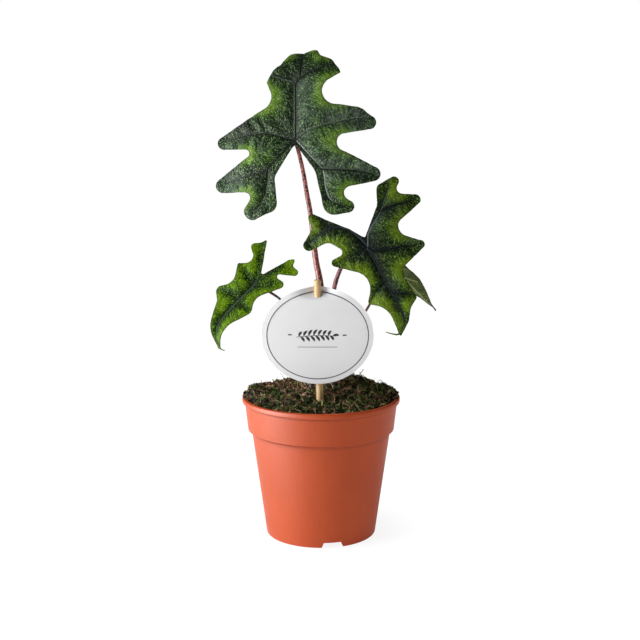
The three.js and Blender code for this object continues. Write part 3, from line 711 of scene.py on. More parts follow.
    def build(self, material, slot):
        ring = respaced(belt(self.circles), RIM_SPACING)
        ways = np.roll(ring, -1, axis=0) - np.roll(ring, 1, axis=0)
        outward = unit(np.column_stack([ways[:, 1], -ways[:, 0]]))
        wavy = 0.16 * noise_at(ring, 0.45, 2.2) + 0.2 * noise_at(ring, 0.16, 4.4)
        ring = ring + outward * wavy[:, None]
        flat = [Vector(p) for p in np.vstack([ring, self.vein_rows(ring), self.inner_points(ring)])]
        made = delaunay_2d_cdt(flat, [], [list(range(len(ring)))], CDT_INSIDE, CDT_MERGE)
        points = np.array([tuple(p) for p in made[0]])
        faces = sheet_faces([tuple(t) for t in made[2]], len(points))
        edge = ring_distance(ring, points)
        upper, lower = self.relief(points, edge)
        taper = smooth(edge / RIM_TAPER)
        upper = upper + RIM_HALF + (UPPER_HALF - RIM_HALF) * taper
        lower = lower - RIM_HALF - (LOWER_HALF - RIM_HALF) * taper
        middle, normals = self.surface(points), self.normals(points)
        vertices = np.vstack([middle + normals * height[:, None] for height in (upper, lower)])
        zones, marks, net = self.colour_marks(points, edge)
        below = marks + (0, 0, 1)
        attributes = {"zones": [zones, zones], "marks": [marks, below], "net": [net, net]}
        if len(self.tail):
            hair, hair_faces = tube(self.surface(np.array(self.tail, float)), TAIL_RADII, TAIL_SIDES)
            faces += [tuple(len(vertices) + i for i in face) for face in hair_faces]
            vertices = np.vstack([vertices, hair])
            plain = np.zeros(hair.shape)
            attributes["zones"].append(plain + (0, TAIL_LIME, 0))
            attributes["marks"].append(plain)
            attributes["net"].append(plain)
        attributes = {key: np.vstack(parts) for key, parts in attributes.items()}
        add_piece(self.name, vertices, faces, material, slot, self.name, attributes=attributes)


LEAF_TOP = Leaf(
    "leaf_top",
    junction=(-19, 6, 299), tip_way=(0.02, 0.155, 0.988), face_way=(0.04, -0.98, 0.155),
    bend=[(42, 0), (62, 37), (82, 108), (118, 162)],
    arch=-1,
    lifts=[(-55, -3, 20, -5), (-54, -36, 18, -5), (58, 18, 18, -5), (60, -22, 16, -4), (-28, -54, 14, 3),
           (35, -46, 14, 3), (-14, 48, 10, 1.5), (16, 50, 10, 1.5), (13, 71, 6, 1.5), (-5, 74, 6, -2.8),
           (22, 63, 6, -0.4)],
    puff=1.7, vein_reach=5,
    outline=[
        (0, -5, -1.5), (2.2, -8.2, -1.5), (6.6, -26.3, -9), (29.2, -46, 8.2), (39.8, -47.7, 4.8),
        (41.4, -37.8, -5), (58.6, -22.5, 5.7), (37, 0, -6.5), (54.8, 15.7, 5.3), (44, 14.6, 12.4),
        (28.5, 37.5, -9.5), (31, 51.6, 1.2), (22.4, 58.8, 6.4), (20.5, 71.5, -5.5), (11.5, 84, 7.5),
        (21, 97, -7), (8.5, 114, 0.8), (-4, 100, -9), (3, 82, 7), (-11, 69, -6.5), (-8.5, 52, 5),
        (-13.5, 47.5, 5), (-20.5, 42, 1.5), (-28.9, 31.6, -10.5), (-52.8, -2.5, 5), (-36.7, -10.4, -3.1),
        (-52.9, -34, 5.7), (-37, -43.5, -4.5), (-30.5, -53.4, 6.2), (-20.8, -56.6, -1.6),
        (-20.5, -46.5, 7.7), (-5.5, -29, -9),
    ],
    veins=[
        ([(0, 0), (-0.3, 20), (-0.7, 41)], 1.0, 1.0, 0.8),
        ([(-0.7, 41), (0.9, 43.5), (2.8, 46.5), (3.3, 57), (4.5, 68), (6, 80), (8, 95),
          (8.5, 106)], 0.1, 1.0, 0.8),
        ([(-0.7, 41), (-2.9, 44.4), (-9, 45.3), (-16.6, 47.4), (-19.3, 48.3)], 0.55, 0.6, 0.4),
        ([(2.8, 46.5), (10.5, 50.7), (16.1, 53.3), (21.8, 57), (27.6, 60.6)], 0.1, 1.0, 0.4),
        ([(3, 47.7), (-5.4, 51.4), (-8.4, 53.6)], 0.5, 0.2, 0.4),
        ([(3.3, 53), (9.7, 59), (11.6, 60.3)], 0.3, 0.2, 0.4),
        ([(0, 0), (1.9, 2.9), (7, 6.3), (12.9, 9.7), (21.7, 12.2), (32.9, 15.3), (40.4, 17.6),
          (50, 19)], 0.4, 0.35, 0.35),
        ([(0, 0), (-6.4, 1.1), (-12.8, 3), (-21.3, 4.7), (-29.8, 4.2), (-38.3, 2.8), (-44.7, 0.8),
          (-51, -0.8)], 0.0, 1.0, 0.35),
        ([(0, 0), (10, -10.5), (20, -20.5)], 0.9, 1.0, 0.35),
        ([(20, -20.5), (44.5, -20.5), (58, -22.5)], 0.1, 1.0, 0.35),
        ([(20, -20.5), (21.2, -26), (22.5, -35), (25, -41.5), (28, -44.5)], 1.0, 0.6, 0.35),
        ([(28, -44.5), (33, -46.5), (40, -47.5)], 0.0, 0.4, 0.35),
        ([(0, 0), (-2.9, -1.8), (-8.3, -8.3), (-14.6, -15.2), (-19.6, -21.2), (-23.8, -23.9),
          (-30.2, -25.2), (-35.3, -27.1), (-40.3, -28.6), (-50, -32)], 0.0, 1.0, 0.35),
        ([(-19.8, -21.5), (-20.2, -30), (-21.5, -40), (-24.5, -47), (-28.5, -52)], 0.1, 0.9, 0.35),
        ([(-0.3, 22), (1.6, 26.4), (6, 31.4), (12, 36.5)], 0.25, 0.1, 0.6),
        ([(-0.5, 1), (-6, 6.2), (-11.5, 11)], 0.4, 0.1, 0.6),
    ],
    fold=1.3, quilt=0.35, pitch=9.0,
    quilt_spots=[(38, 20, 17, 2.4), (-32, 9, 14, 0.7), (42, -18, 14, 1.1), (22, -12, 10, 0.8)],
    bay_lime=0.88, far_lime=0.14, bay_reach=5.2,
    # Lime patches of the leaf's own; the one negative spot darkens a lobe that the light falls on, painted
    # shade.
    lime=[(-20, -12, 10, 0.34), (-20, 24, 9, 0.3), (16, 40, 8, 0.2), (15, 30, 9, 0.35), (18, 6, 9, 0.4),
          (26, 0, 9, 0.5), (-15, 32, 7, 0.4), (12, 62, 6, 0.25), (31, -34, 7, 0.35), (-24, -44, 6, 0.4),
          (36, 20, 12, 0.15), (46, -14, 12, 0.2), (-40, 16, 9, -0.12), (26, -52, 8, 0.25),
          (-14, -46, 5, 0.3)],
    # Painted sheen; the negative spots take it away, painted shade.
    painted_sheen=[(6, 24, 8, 0.75), (5, 40, 6, 0.6), (7, 8, 7, 0.6), (12, -9, 8, 0.6), (-50, -36, 12, 0.8),
           (-51, -6, 6, 0.7), (48, 12, 9, 0.5), (30, 20, 7, 0.5), (24, -26, 9, 0.5), (-14, -32, 7, 0.5),
           (-13, -46, 6, 0.4), (-30, -55, 6, 0.4), (30, -14, 8, 0.4), (-36, 12, 12, -0.7),
           (-24, -28, 10, -0.3), (24, -38, 5, -0.4), (42, 22, 9, 0.5), (50, -16, 9, 0.5)],
    vein_width=(0.8, 0.45), halo=(1.9, 0.45), heart=(5.0, 0.5), rib_shift=0.9,
)

LEAF_RIGHT = Leaf(
    "leaf_right",
    junction=(34, -10, 222), tip_way=(0.28, -0.35, -0.89), face_way=(0.10, -0.93, 0.35),
    bend=[(0, 0), (40, -4), (70, 12)],
    arch=-0.8,
    lifts=[(40, -14, 12, -3), (-46, -27, 12, -3), (-40, 8, 12, -3), (34, -31, 8, 2), (-24, 45, 8, -2),
           (10, 41, 8, -2), (-14, -20, 12, 2)],
    puff=1.5, vein_reach=4.5,
    outline=[
        (0, -8.5, -1), (19, -4.5, 15.5), (33, -30.5, 3.5), (39.5, -25.5, -4), (40.8, -12.5, 4.6),
        (29, -4.3, -5.8), (22.3, -1.2, -3), (26.3, 6.2, 3.2), (20.5, 28.5, -13.5), (9.5, 41, 2),
        (15.5, 60.5, -17.5), (-4.5, 70.3, 0.8), (-4, 56.5, 10.7), (-22.5, 57, -6.5), (-21.5, 45.5, 3),
        (-27.5, 28.5, -8.5), (-39.6, 7.8, 3.5), (-33.5, -7.2, -7), (-46.5, -26.7, 4.3), (-38.5, -37, -4),
        (-34.5, -43.7, 3.5), (-24, -39, 5), (-5.4, -33.5, -11.5),
    ],
    veins=[
        ([(0, 0), (-2.1, 8.5), (-3.5, 17.4), (-5.1, 25.9), (-6.7, 35.4), (-8.1, 42.7), (-9, 49.3),
          (-10.4, 56.9), (-9.8, 62.4), (-6, 67)], 0.7, 1.0, 0.7),
        ([(0, 0), (-2.8, -9), (-7.2, -14.1), (-12.4, -18.7), (-16.7, -22.9), (-19.9, -27.5),
          (-27.6, -38.7)], 0.9, 0.9, 0.3),
        ([(-16.7, -22.9), (-32, -26), (-44, -26.5)], 0.1, 1.0, 0.3),
        ([(0, 0), (5.1, -9.1), (9.6, -15.4), (15.2, -19.1), (22.3, -20.4), (28.1, -19.1), (33.8, -17.6),
          (40, -15)], 0.25, 1.0, 0.3),
        ([(20.5, -20.2), (24.6, -24), (26.4, -26.5), (30, -31)], 0.0, 0.7, 0.3),
        ([(-1, 1.5), (-4.5, 4), (-11.3, 5.6), (-17.9, 6.4), (-25.5, 6.4), (-36, 7.5)], 0.0, 1.0, 0.3),
        ([(0, 0), (9, 3), (25, 6)], 0.0, 0.5, 0.4),
        ([(-6, 29), (-2.4, 31.1), (2.6, 33.9), (7.3, 37.9), (10.3, 40.7)], 0.0, 0.7, 0.4),
        ([(-7.3, 38.5), (-11.6, 40), (-16.3, 41.5), (-22, 43.8)], 0.0, 0.8, 0.4),
    ],
    fold=0.9, quilt=0.45, pitch=6.5,
    quilt_spots=[(30, -20, 9, 0.4), (-28, -22, 10, 0.4)],
    bay_lime=0.42, far_lime=0.3, tip_fade=1.0,
    lime=[(18, -6, 9, 0.2), (33, -25, 6, 0.6), (6, 18, 7, 0.5), (0, 46, 7, 0.6), (-20, 24, 8, 0.45),
          (-24, -4, 7, 0.35), (1, 35, 4, 0.3), (-12, 52, 6, 0.3), (-30, -34, 9, 0.45), (-3, 62, 6, 0.4),
          (12, 24, 6, 0.5), (-6, 66, 6, 0.6), (19, 7, 7, 0.2), (-26, 20, 7, 0.2), (-31, -30, 8, 0.3),
          (-18, 46, 8, 0.3)],
    painted_sheen=[(-12, -18, 6, 0.6), (-26, -26, 8, 0.5), (-36, 4, 6, 0.45), (-9, -8, 5, 0.3), (36, -14, 5, 0.4),
           (-12, 32, 4, 0.3)],
    vein_width=(1.0, 0.5), halo=(4.0, 0.75), heart=(10.0, 0.8), rib_shift=-0.5, lime_reach=6.5,
    tail=[(-4.2, 69.5), (-1.5, 69.4), (1, 68.3), (3.5, 67), (6, 65.4)],
)

LEAF_LEFT = Leaf(
    "leaf_left",
    junction=(-49.5, 2, 192.5), tip_way=(-0.66, -0.22, -0.72), face_way=(-0.12, -0.92, 0.38),
    bend=[(0, 0), (34, 0), (58, 30)],
    arch=-1,
    lifts=[(18, 24, 10, -2), (-14, -26, 9, -2), (18, -24, 9, -2), (-6, 18, 9, 1)],
    puff=1.3, vein_reach=4,
    outline=[
        (1.2, -10.2, -1), (16.4, -29.8, 1.1), (20.3, -27.8, -1.5), (19.2, -21.3, 3.4), (20, -11.4, -5.5),
        (19.4, -3.1, 1.5), (23.6, 9.1, -8.8), (15.8, 20.6, 4.8), (19.3, 33.3, -7.5), (-12, 32.5, 21.1),
        (-11.2, 54.6, 0.8), (-26, 40, -19.8), (-5.8, 19.2, 6.8), (-19.4, 8.4, -10.5), (-14.5, -11.3, 3.5),
        (-10.6, -15.8, -1.7), (-16.7, -25.6, 3.1), (-13.8, -30.8, -2), (-10.2, -32, 1.1),
        (-9.5, -28.2, 3.1),
    ],
    veins=[
        ([(0, 0), (0.6, 7.5), (1, 15.9), (1.6, 24.2), (1.6, 31.4), (1.4, 37.9), (0, 43.6), (-4.6, 50.1),
          (-9.5, 53)], 0.6, 1.0, 0.7),
        ([(0, 0), (4.1, -8.4), (8.5, -15.7), (13.4, -21.6), (17.1, -28.9)], 0.25, 0.3, 0.3),
        ([(0, 0), (-0.9, -5.4), (-2.9, -12.8), (-5.4, -19.9), (-8.6, -24.3),
          (-15, -26.5)], 0.1, 0.25, 0.3),
        ([(0, 0), (7, -0.2), (10.5, -1.7), (18, -4)], 0.2, 0.35, 0.3),
        ([(0, 0), (-3.5, -1), (-6.8, -3.7), (-9.8, -8.5), (-14, -12)], 0.1, 0.2, 0.3),
        ([(1.1, 17), (-5, 18.3), (-9.3, 18.2)], 0.1, 0.3, 0.3),
        ([(1.1, 16.5), (3.4, 17.2), (10.1, 16.7), (16.3, 20.1), (18.4, 21.8)], 0.1, 0.3, 0.3),
    ],
    spacing=0.6, fold=0.8, quilt=0.35, pitch=6.0,
    bay_lime=0.3, far_lime=0.55, tip_fade=1.0,
    lime=[(20, -22, 8, 0.5), (-11, -26, 8, 0.9), (-17, -30, 7, 0.8), (-14, -12, 6, 0.5), (-7, 8, 6, 0.2),
          (-4, 36, 6, 0.2), (10, 24, 6, 0.15), (-9, 44, 6, 0.35), (-9, 54, 7, 0.6), (8, -10, 6, 0.2)],
    painted_sheen=[(-3, 5, 3, 0.3), (-4, 15, 3, 0.3), (4, 42, 5, 0.2), (-2, -5, 4, 0.3)],
    vein_width=(0.8, 0.4), halo=(3.0, 0.55), heart=(5.0, 0.6), rib_shift=0.0, lime_reach=4.5,
    tail=[(-10.6, 53.8), (-11.8, 54.3), (-13.2, 54.1), (-14.6, 53.5), (-16, 52.7)],
)

LEAF_BACK = Leaf(
    "leaf_back",
    junction=(51.6, 4, 207.8), tip_way=(0.69, -0.3, -0.71), face_way=(0.25, 0.93, 0.28),
    bend=[(0, 0), (28, 0), (52, 22)],
    arch=-1.5,
    lifts=[(6, -10, 7, -1.5), (-6, -10, 7, -1.5)],
    puff=1, vein_reach=3.5,
    outline=[
        (0, -5, -0.8), (9, -15, 2.2), (10, -7, -3), (0.5, 13, 8), (1.2, 23.5, 8), (2, 36, 3.3),
        (2, 40.3, 2.1), (6.2, 45.8, -3.4), (2.4, 50.1, 0.5), (-2, 46.5, -3.6), (2, 40.3, 2.1),
        (1.8, 34, 3.2), (-7, 33, -4.5), (-1, 15, 7), (-10, -7, -3), (-8.5, -14.5, 2.2),
    ],
    veins=[
        ([(0, 0), (0.5, 24), (1.2, 42)], 0.5, 0.8, 0.6),
        ([(0, 0), (9, -14)], 0.1, 0.7, 0.3),
        ([(0, 0), (-8.5, -13.5)], 0.1, 0.7, 0.3),
        ([(0, 4), (7, 13)], 0.1, 0.7, 0.3),
        ([(0, 4), (-7, 12)], 0.1, 0.7, 0.3),
        ([(0, 14), (6, 24)], 0.1, 0.7, 0.3),
        ([(0, 14), (-6, 23)], 0.1, 0.7, 0.3),
    ],
    spacing=0.6, quilt=0.3, pitch=5,
    bay_lime=0.3, far_lime=0.6, vein_width=(0.5, 0.35), halo=(0.8, 0.4), heart=(4.0, 0.3),
)


NET_GROUND = (0.003, 0.008, 0.003, 1)      # between the swollen cells
BRIGHT_UNDER = {"under": srgb(96, 112, 50), "under_rib": srgb(196, 200, 150)}


def leaf_material(name, deep, middle, lime, vein, rib, pale, painted_sheen, under, under_rib, shine):
    shade = Shade(name)
    dark, lime_zone, rim = shade.parts(shade.attribute("zones"))
    rib_zone, painted_sheen_zone, is_under = shade.parts(shade.attribute("marks"))
    net = shade.attribute("net")
    # Broad patches, streaks that run out from the veins, and a net of small swollen cells between fine veins.
    patches = shade.noise(shade.place(), 0.1, 3, 0.5)
    streaks = shade.noise(shade.stretched(net, (0.75, 0.16, 1)), 1, 2, 0.55)
    fine = shade.noise(shade.stretched(net, (1.5, 0.7, 1)), 1, 2, 0.6)
    cells = shade.cells(shade.stretched(net, (0.98, 0.6, 1)))
    swollen = shade.span(cells, 0.1, 0.55, 1.0, 0.0)
    ripeness = shade.plus(lime_zone, shade.span(streaks, 0.25, 0.75, -0.24, 0.26))
    ripeness = shade.plus(ripeness, shade.span(patches, 0.3, 0.7, -0.14, 0.2))
    ground = shade.mix(shade.span(ripeness, 0.0, 0.45), deep, middle)
    ground = shade.mix(shade.span(ripeness, 0.35, 1.1), ground, lime)
    low = shade.mix(shade.span(ripeness, 0.1, 0.9, 0.86, 0.6), ground, NET_GROUND)
    # Painted glints: the swollen cells are lightened towards pale, more where the painted sheen is.
    painted_glint = shade.plus(shade.span(patches, 0.3, 0.7, 0.42, 0.78), shade.times(painted_sheen_zone, 0.6))
    high = shade.mix(painted_glint, ground, shade.mix(shade.times(lime_zone, 0.5), pale, lime))
    ground = shade.mix(shade.times(swollen, shade.span(fine, 0.3, 0.65, 0.3, 1.1)), low, high)
    # Painted sheen: a streaked greyish highlight where the sheen zone is.
    painted_silver_sheen = shade.times(painted_sheen_zone, shade.span(streaks, 0.3, 0.7, 0.05, 0.45))
    ground = shade.mix(painted_silver_sheen, ground, painted_sheen)
    ground = shade.mix(dark, ground, vein)
    # The pale rib, a painted highlight.
    ground = shade.mix(rib_zone, ground, rib)
    ground = shade.mix(shade.times(rim, 0.8), ground, vein)
    below = shade.mix(shade.span(streaks, 0.35, 0.65), under, shade.mix(0.6, under, deep))
    below = shade.mix(shade.times(dark, 0.7), below, under_rib)
    below = shade.mix(shade.times(rim, 0.6), below, deep)
    colour = shade.mix(is_under, ground, below)
    normal = shade.bump(shade.plus(swollen, shade.times(fine, 0.5)), 0.3, 0.9)
    roughness = shade.span(patches, 0.3, 0.7, 0.5, 0.42)
    return shade.surface(colour, roughness, normal, Specular_IOR_Level=shine)


def add_leaves():
    dark = leaf_material(
        "leaf_dark", deep=srgb(38, 72, 36), middle=srgb(64, 110, 38), lime=srgb(146, 194, 52),
        vein=srgb(12, 20, 16), rib=srgb(150, 160, 154), pale=srgb(160, 196, 124), painted_sheen=srgb(150, 176, 156),
        under=srgb(104, 126, 74), under_rib=srgb(150, 160, 112), shine=0.19)
    bright = leaf_material(
        "leaf_bright", deep=srgb(24, 46, 18), middle=srgb(54, 90, 20), lime=srgb(148, 184, 28),
        vein=srgb(12, 22, 24), rib=srgb(104, 116, 116), pale=srgb(146, 180, 80), painted_sheen=srgb(120, 148, 122),
        shine=0.12, **BRIGHT_UNDER)
    young = leaf_material(
        "leaf_young", deep=srgb(40, 78, 10), middle=srgb(74, 122, 12), lime=srgb(140, 186, 18),
        vein=srgb(16, 28, 20), rib=srgb(100, 118, 96), pale=srgb(150, 196, 26), painted_sheen=srgb(110, 150, 60),
        shine=0.04, **BRIGHT_UNDER)
    LEAF_TOP.build(dark, "leaf_dark")
    LEAF_LEFT.build(young, "leaf_bright")
    LEAF_RIGHT.build(bright, "leaf_bright")
    LEAF_BACK.build(bright, "leaf_bright")


# ---- Stalks ----

SEAT_HEIGHT = 88.3
UPRIGHT_HEIGHT = 121
STALK_SIDES = 24
STALK_STEPS = 150
STALK_APPROACH = 5
STALK_END = 0.45                      # behind the middle of the blade's sheet
STALK_FLARE = 0.8                     # how much wider it gets at the blade, and over what length
FLARE_LENGTH = 1.6
STALK_WOBBLE = 0.05
BASE_BROWN = (112, 132)               # brown below the first height, and none above the second


def stalk_material(name, flesh, blotch, pale, blotch_size):
    shade = Shade(name)
    blotches = shade.noise(shade.place((1, 1, 1.1)), blotch_size, 2, 0.5)
    specks = shade.noise(shade.place((1, 1, 0.35)), 2.4, 2, 0.5)
    colour = shade.mix(shade.span(blotches, 0.46, 0.54), blotch, flesh)
    colour = shade.mix(shade.span(specks, 0.52, 0.68, 0.0, 0.45), colour, pale)
    height = shade.parts(shade.place())[2]
    colour = shade.mix(shade.span(height, *BASE_BROWN, 0.9, 0.0), colour, srgb(44, 32, 24))
    normal = shade.bump(blotches, 0.12, 0.6)
    return shade.surface(colour, 0.42, normal, Specular_IOR_Level=0.35)


def roughened(path, vertices, sides, sizes):
    """The vertices of a tube round a path, each moved towards or away from the path."""
    middles = np.repeat(path, sides, axis=0)
    return middles + (vertices - middles) * sizes[:, None]


def add_stalk(name, foot, way, leaf, radii, material, slot):
    seat = [(*foot, SEAT_HEIGHT), (*foot, UPRIGHT_HEIGHT)]
    path = spline([*seat, *way, leaf.behind(STALK_APPROACH), leaf.behind(STALK_END)], STALK_STEPS)
    share = np.linspace(0, 1, STALK_STEPS + 1)
    to_end = (1 - share) * lengths_along(path)[-1]
    radius = between(radii, share) + STALK_FLARE * fall(to_end, FLARE_LENGTH)
    vertices, faces = tube(path, radius, STALK_SIDES)
    sizes = 1 + STALK_WOBBLE * noise_at(vertices, 0.25)
    add_piece(name, roughened(path, vertices, STALK_SIDES, sizes), faces, material, slot, name)


def add_stalks():
    rose = stalk_material("petiole_rose", srgb(178, 100, 90), srgb(70, 24, 28), srgb(206, 142, 124), 0.62)
    plum = stalk_material("petiole_plum", srgb(164, 100, 104), srgb(70, 28, 40), srgb(190, 138, 142), 0.62)
    dark = stalk_material("petiole_dark", srgb(116, 74, 60), srgb(52, 30, 26), srgb(140, 104, 86), 0.6)
    add_stalk("petiole_top", (1.5, 5),
              [(-0.5, 5, 190), (-4, 5, 211), (-8, 5.5, 245.5), (-10.6, 6.5, 260), (-13.3, 7.5, 276),
               (-16.8, 9, 291)],
              LEAF_TOP, [(0, 3.7), (0.15, 3.5), (0.4, 2.9), (0.58, 2.2), (0.74, 1.8), (0.9, 1.5), (1, 1.3)],
              rose, "petiole_rose")
    add_stalk("petiole_left", (-7.5, 1),
              [(-10, 2.5, 140), (-18.6, 4.5, 165.4), (-30, 6.5, 179.1), (-38, 8, 184.8)],
              LEAF_LEFT, [(0, 2.6), (0.25, 2.2), (0.5, 1.5), (0.8, 1), (1, 0.9)], dark, "petiole_dark")
    add_stalk("petiole_right", (9.5, -2.5),
              [(8.5, -0.5, 150), (8, 2.5, 172), (9.8, 4, 188.5), (14.5, 5, 203), (22, 3.5, 214.5)],
              LEAF_RIGHT, [(0, 3), (0.25, 2.6), (0.5, 2), (0.8, 1.6), (1, 1.4)], plum, "petiole_rose")
    add_stalk("petiole_back", (8, 13),
              [(13, 13.5, 137), (24, 12.5, 155), (33.5, 10.5, 169.5), (40, 7.5, 181.5), (46, 3.5, 195.5)],
              LEAF_BACK, [(0, 2.2), (0.25, 1.7), (0.5, 1), (1, 0.8)], dark, "petiole_dark")


# ---- Pot ----

POT_HEIGHT = 107
RIM_RADIUS = 60
LIP_HEIGHT = 4.2
BAND_TOP_RADIUS = 58.5
BAND_LOW_RADIUS = 55.75
BODY_TOP_RADIUS = 52.6
BAND_LOW = 82
BODY_TOP = 78.5
FOOT_RADIUS = 42
FOOT_WIDTH = 5
FLOOR_UNDERSIDE = 4.6
FLOOR_TOP = 6.6
WALL = 1.6
POT_SIDES = 240


SHARP_EDGE = math.radians(40)


def pot_wall(z):
    heights = (0, BODY_TOP, BAND_LOW, POT_HEIGHT)
    return np.interp(z, heights, (FOOT_RADIUS, BODY_TOP_RADIUS, BAND_LOW_RADIUS, BAND_TOP_RADIUS))


def filleted(corners, steps=5):
    """A line of (r, z, rounding) corners with its corners rounded."""
    points = []
    for i, (r, z, rounding) in enumerate(corners):
        here = np.array([r, z], float)
        if rounding == 0 or i in (0, len(corners) - 1):
            points.append(here)
            continue
        start, end = (here + rounding * unit(np.array(corners[j][:2], float) - here) for j in (i - 1, i + 1))
        for t in np.linspace(0, 1, steps + 1):
            points.append((1 - t) ** 2 * start + 2 * t * (1 - t) * here + t ** 2 * end)
    return np.array(points)


def turned(section, sides):
    """A body turned from a section that starts and ends on the axis.

    The two fans at the axis are wound the other way from the faces of the grid.
    """
    inner = section[1:-1]
    vertices = [ring_at(r, z, sides) for r, z in inner]
    ends = [[0, 0, section[0][1]], [0, 0, section[-1][1]]]
    count = len(inner) * sides
    top_fan = [face[::-1] for face in fan_faces(count + 1, count - sides, sides)]
    return np.vstack([*vertices, ends]), grid_faces(len(inner), sides) + fan_faces(count, 0, sides) + top_fan


def add_pot():
    lip_low = POT_HEIGHT - LIP_HEIGHT
    inside = FOOT_RADIUS - FOOT_WIDTH
    corners = [
        (0, FLOOR_UNDERSIDE, 0), (inside, FLOOR_UNDERSIDE, 0.6), (inside, 0, 0.6),
        (pot_wall(0) - 0.1, 0, 0.9), (pot_wall(BODY_TOP), BODY_TOP, 0.9),
        (BODY_TOP_RADIUS + 0.5, BAND_LOW - 0.6, 0.7),
        (pot_wall(BAND_LOW), BAND_LOW, 0.3), (pot_wall(lip_low), lip_low, 0.35),
        (RIM_RADIUS, lip_low + 0.3, 0.9), (RIM_RADIUS, POT_HEIGHT, 1.2),
        (BAND_TOP_RADIUS - WALL + 0.1, POT_HEIGHT, 0.8), (pot_wall(BAND_LOW) - WALL, BAND_LOW - 0.4, 1.4),
        (pot_wall(BODY_TOP) - WALL, BODY_TOP - 0.4, 1.4), (pot_wall(FLOOR_TOP) - WALL, FLOOR_TOP, 1.5),
        (0, FLOOR_TOP, 0),
    ]
    vertices, faces = turned(filleted(corners), POT_SIDES)
    shade = Shade("pot_plastic")
    streaks = shade.noise(shade.place((0.5, 0.5, 0.02)), 1, 3, 0.6)
    grain = shade.noise(shade.place(), 1.6, 3, 0.6)
    blush = shade.noise(shade.place(), 0.03, 3, 0.5)
    base = shade.mix(shade.span(blush, 0.3, 0.7), srgb(178, 70, 26), srgb(184, 74, 29))
    base = shade.mix(shade.span(streaks, 0.4, 0.75, 0.0, 0.12), base, srgb(198, 90, 48))
    height = shade.parts(shade.place())[2]
    shadows = [                       # the runs of heights in which each begins and ends, and its colour
        ((BODY_TOP - 2, BAND_LOW - 0.3), (BAND_LOW - 0.2, BAND_LOW), srgb(120, 36, 14)),
        ((lip_low - 2, lip_low - 0.2), (lip_low + 0.1, lip_low + 0.6), srgb(110, 34, 14)),
    ]
    for begins, ends, colour in shadows:
        shadow = shade.times(shade.span(height, *begins), shade.span(height, *ends, 1.0, 0.0))
        base = shade.mix(shade.times(shadow, 0.5), base, colour)
    normal = shade.bump(grain, 0.02, 0.4, shade.bump(streaks, 0.06, 0.3))
    roughness = shade.span(grain, 0.3, 0.7, 0.48, 0.54)
    material = shade.surface(base, roughness, normal, Specular_IOR_Level=0.24)
    pot = add_piece("pot", vertices, faces, material, "pot_plastic", "pot")
    cut(pot, pot_cutters())
    pot.data.set_sharp_from_angle(angle=SHARP_EDGE)


SLOT_COUNT = 3
SLOT_TURN = math.radians(12)
SLOT_LOW_WIDTH, SLOT_HIGH_WIDTH, SLOT_HEIGHT = 17.5, 13.5, 4.2
DRAIN_COUNT = 6
DRAIN_RADIUS = 5
DRAIN_RING = 22
DRAIN_SIDES = 32
CUT_THROUGH = 3                       # how far a cutter stands out of what it cuts


def prism(outline, low, high):
    """A closed body between two heights over an outline in x and y."""
    outline = np.asarray(outline, float)
    count = len(outline)
    vertices = np.vstack([np.column_stack([outline, np.full(count, z)]) for z in (low, high)])
    return vertices, grid_faces(2, count) + [tuple(range(count))[::-1], tuple(range(count, 2 * count))]


def pot_cutters():
    """The slots in the foot ring and the drain holes, as one heap of bodies."""
    heap = Heap()
    low, high = SLOT_LOW_WIDTH / 2, SLOT_HIGH_WIDTH / 2
    shape = [(-low, -1), (low, -1), (high, SLOT_HEIGHT), (-high, SLOT_HEIGHT)]
    vertices, faces = prism(shape, FOOT_RADIUS - 1.4 * FOOT_WIDTH, FOOT_RADIUS + 0.6 * FOOT_WIDTH)
    x, z, out = vertices.T
    for i in range(SLOT_COUNT):
        angle = SLOT_TURN + i * FULL_TURN / SLOT_COUNT
        turned_x = x * math.cos(angle) + out * math.sin(angle)
        turned_y = x * math.sin(angle) - out * math.cos(angle)
        heap.add(np.column_stack([turned_x, turned_y, z]), faces)
    hole = circle(DRAIN_RADIUS, DRAIN_SIDES)
    for x, y in circle(DRAIN_RING, DRAIN_COUNT):
        heap.add(*prism(hole + (x, y), FLOOR_UNDERSIDE - CUT_THROUGH, FLOOR_TOP + CUT_THROUGH))
    return heap


def cut(piece, heap):
    mesh = bpy.data.meshes.new("cutter")
    mesh.from_pydata((np.concatenate(heap.vertices) * MM).tolist(), [], heap.faces)
    cutter = bpy.data.objects.new("cutter", mesh)
    bpy.context.collection.objects.link(cutter)
    modifier = piece.modifiers.new("cut", "BOOLEAN")
    modifier.object = cutter
    modifier.operation = "DIFFERENCE"
    modifier.solver = "EXACT"
    graph = bpy.context.evaluated_depsgraph_get()
    made = bpy.data.meshes.new_from_object(piece.evaluated_get(graph))
    piece.modifiers.clear()
    piece.data = made
    made.polygons.foreach_set("use_smooth", [True] * len(made.polygons))
    bpy.data.objects.remove(cutter)


# ---- Soil ----

SOIL_LEVEL = 107
SOIL_FRONT_DROP = 5
SOIL_BACK_RISE = 2.5
SOIL_DOME = 5.5
SOIL_RADIUS = 56.2
SOIL_CLODS = 0.9
HUMMOCKS = [(27, 14, 15, 7.5), (-50, 8, 14, 5.5), (-30, 14, 14, 0.5), (50, 6, 12, 2.5),
            (6, -18, 12, -1.5), (-24, -28, 12, 1.5), (5, -5, 13, 4.5)]
SETTLED = [(-38, 28, 24, 3.6), (-12, 42, 14, 2.4), (44, 26, 13, 2.4)]     # where the loose top lies lower
CRUMBLE = [(1.3, 0.22, 4.0), (1.0, 0.55, 8.0), (0.5, 1.3, 2.0)]     # height, scale and seed of each noise
CRUMBS_BELOW = 0.9                    # the crumbled top, under the soil's own height
SOIL_EDGE = 1.5                       # what lies on the soil stays this far from its edge
BANK_HEIGHT = 1.4                     # how much higher it lies along the rim, further back than SPILL_FROM
SPILL_FROM = -12                      # from about here back, peat and moss lie on the rim


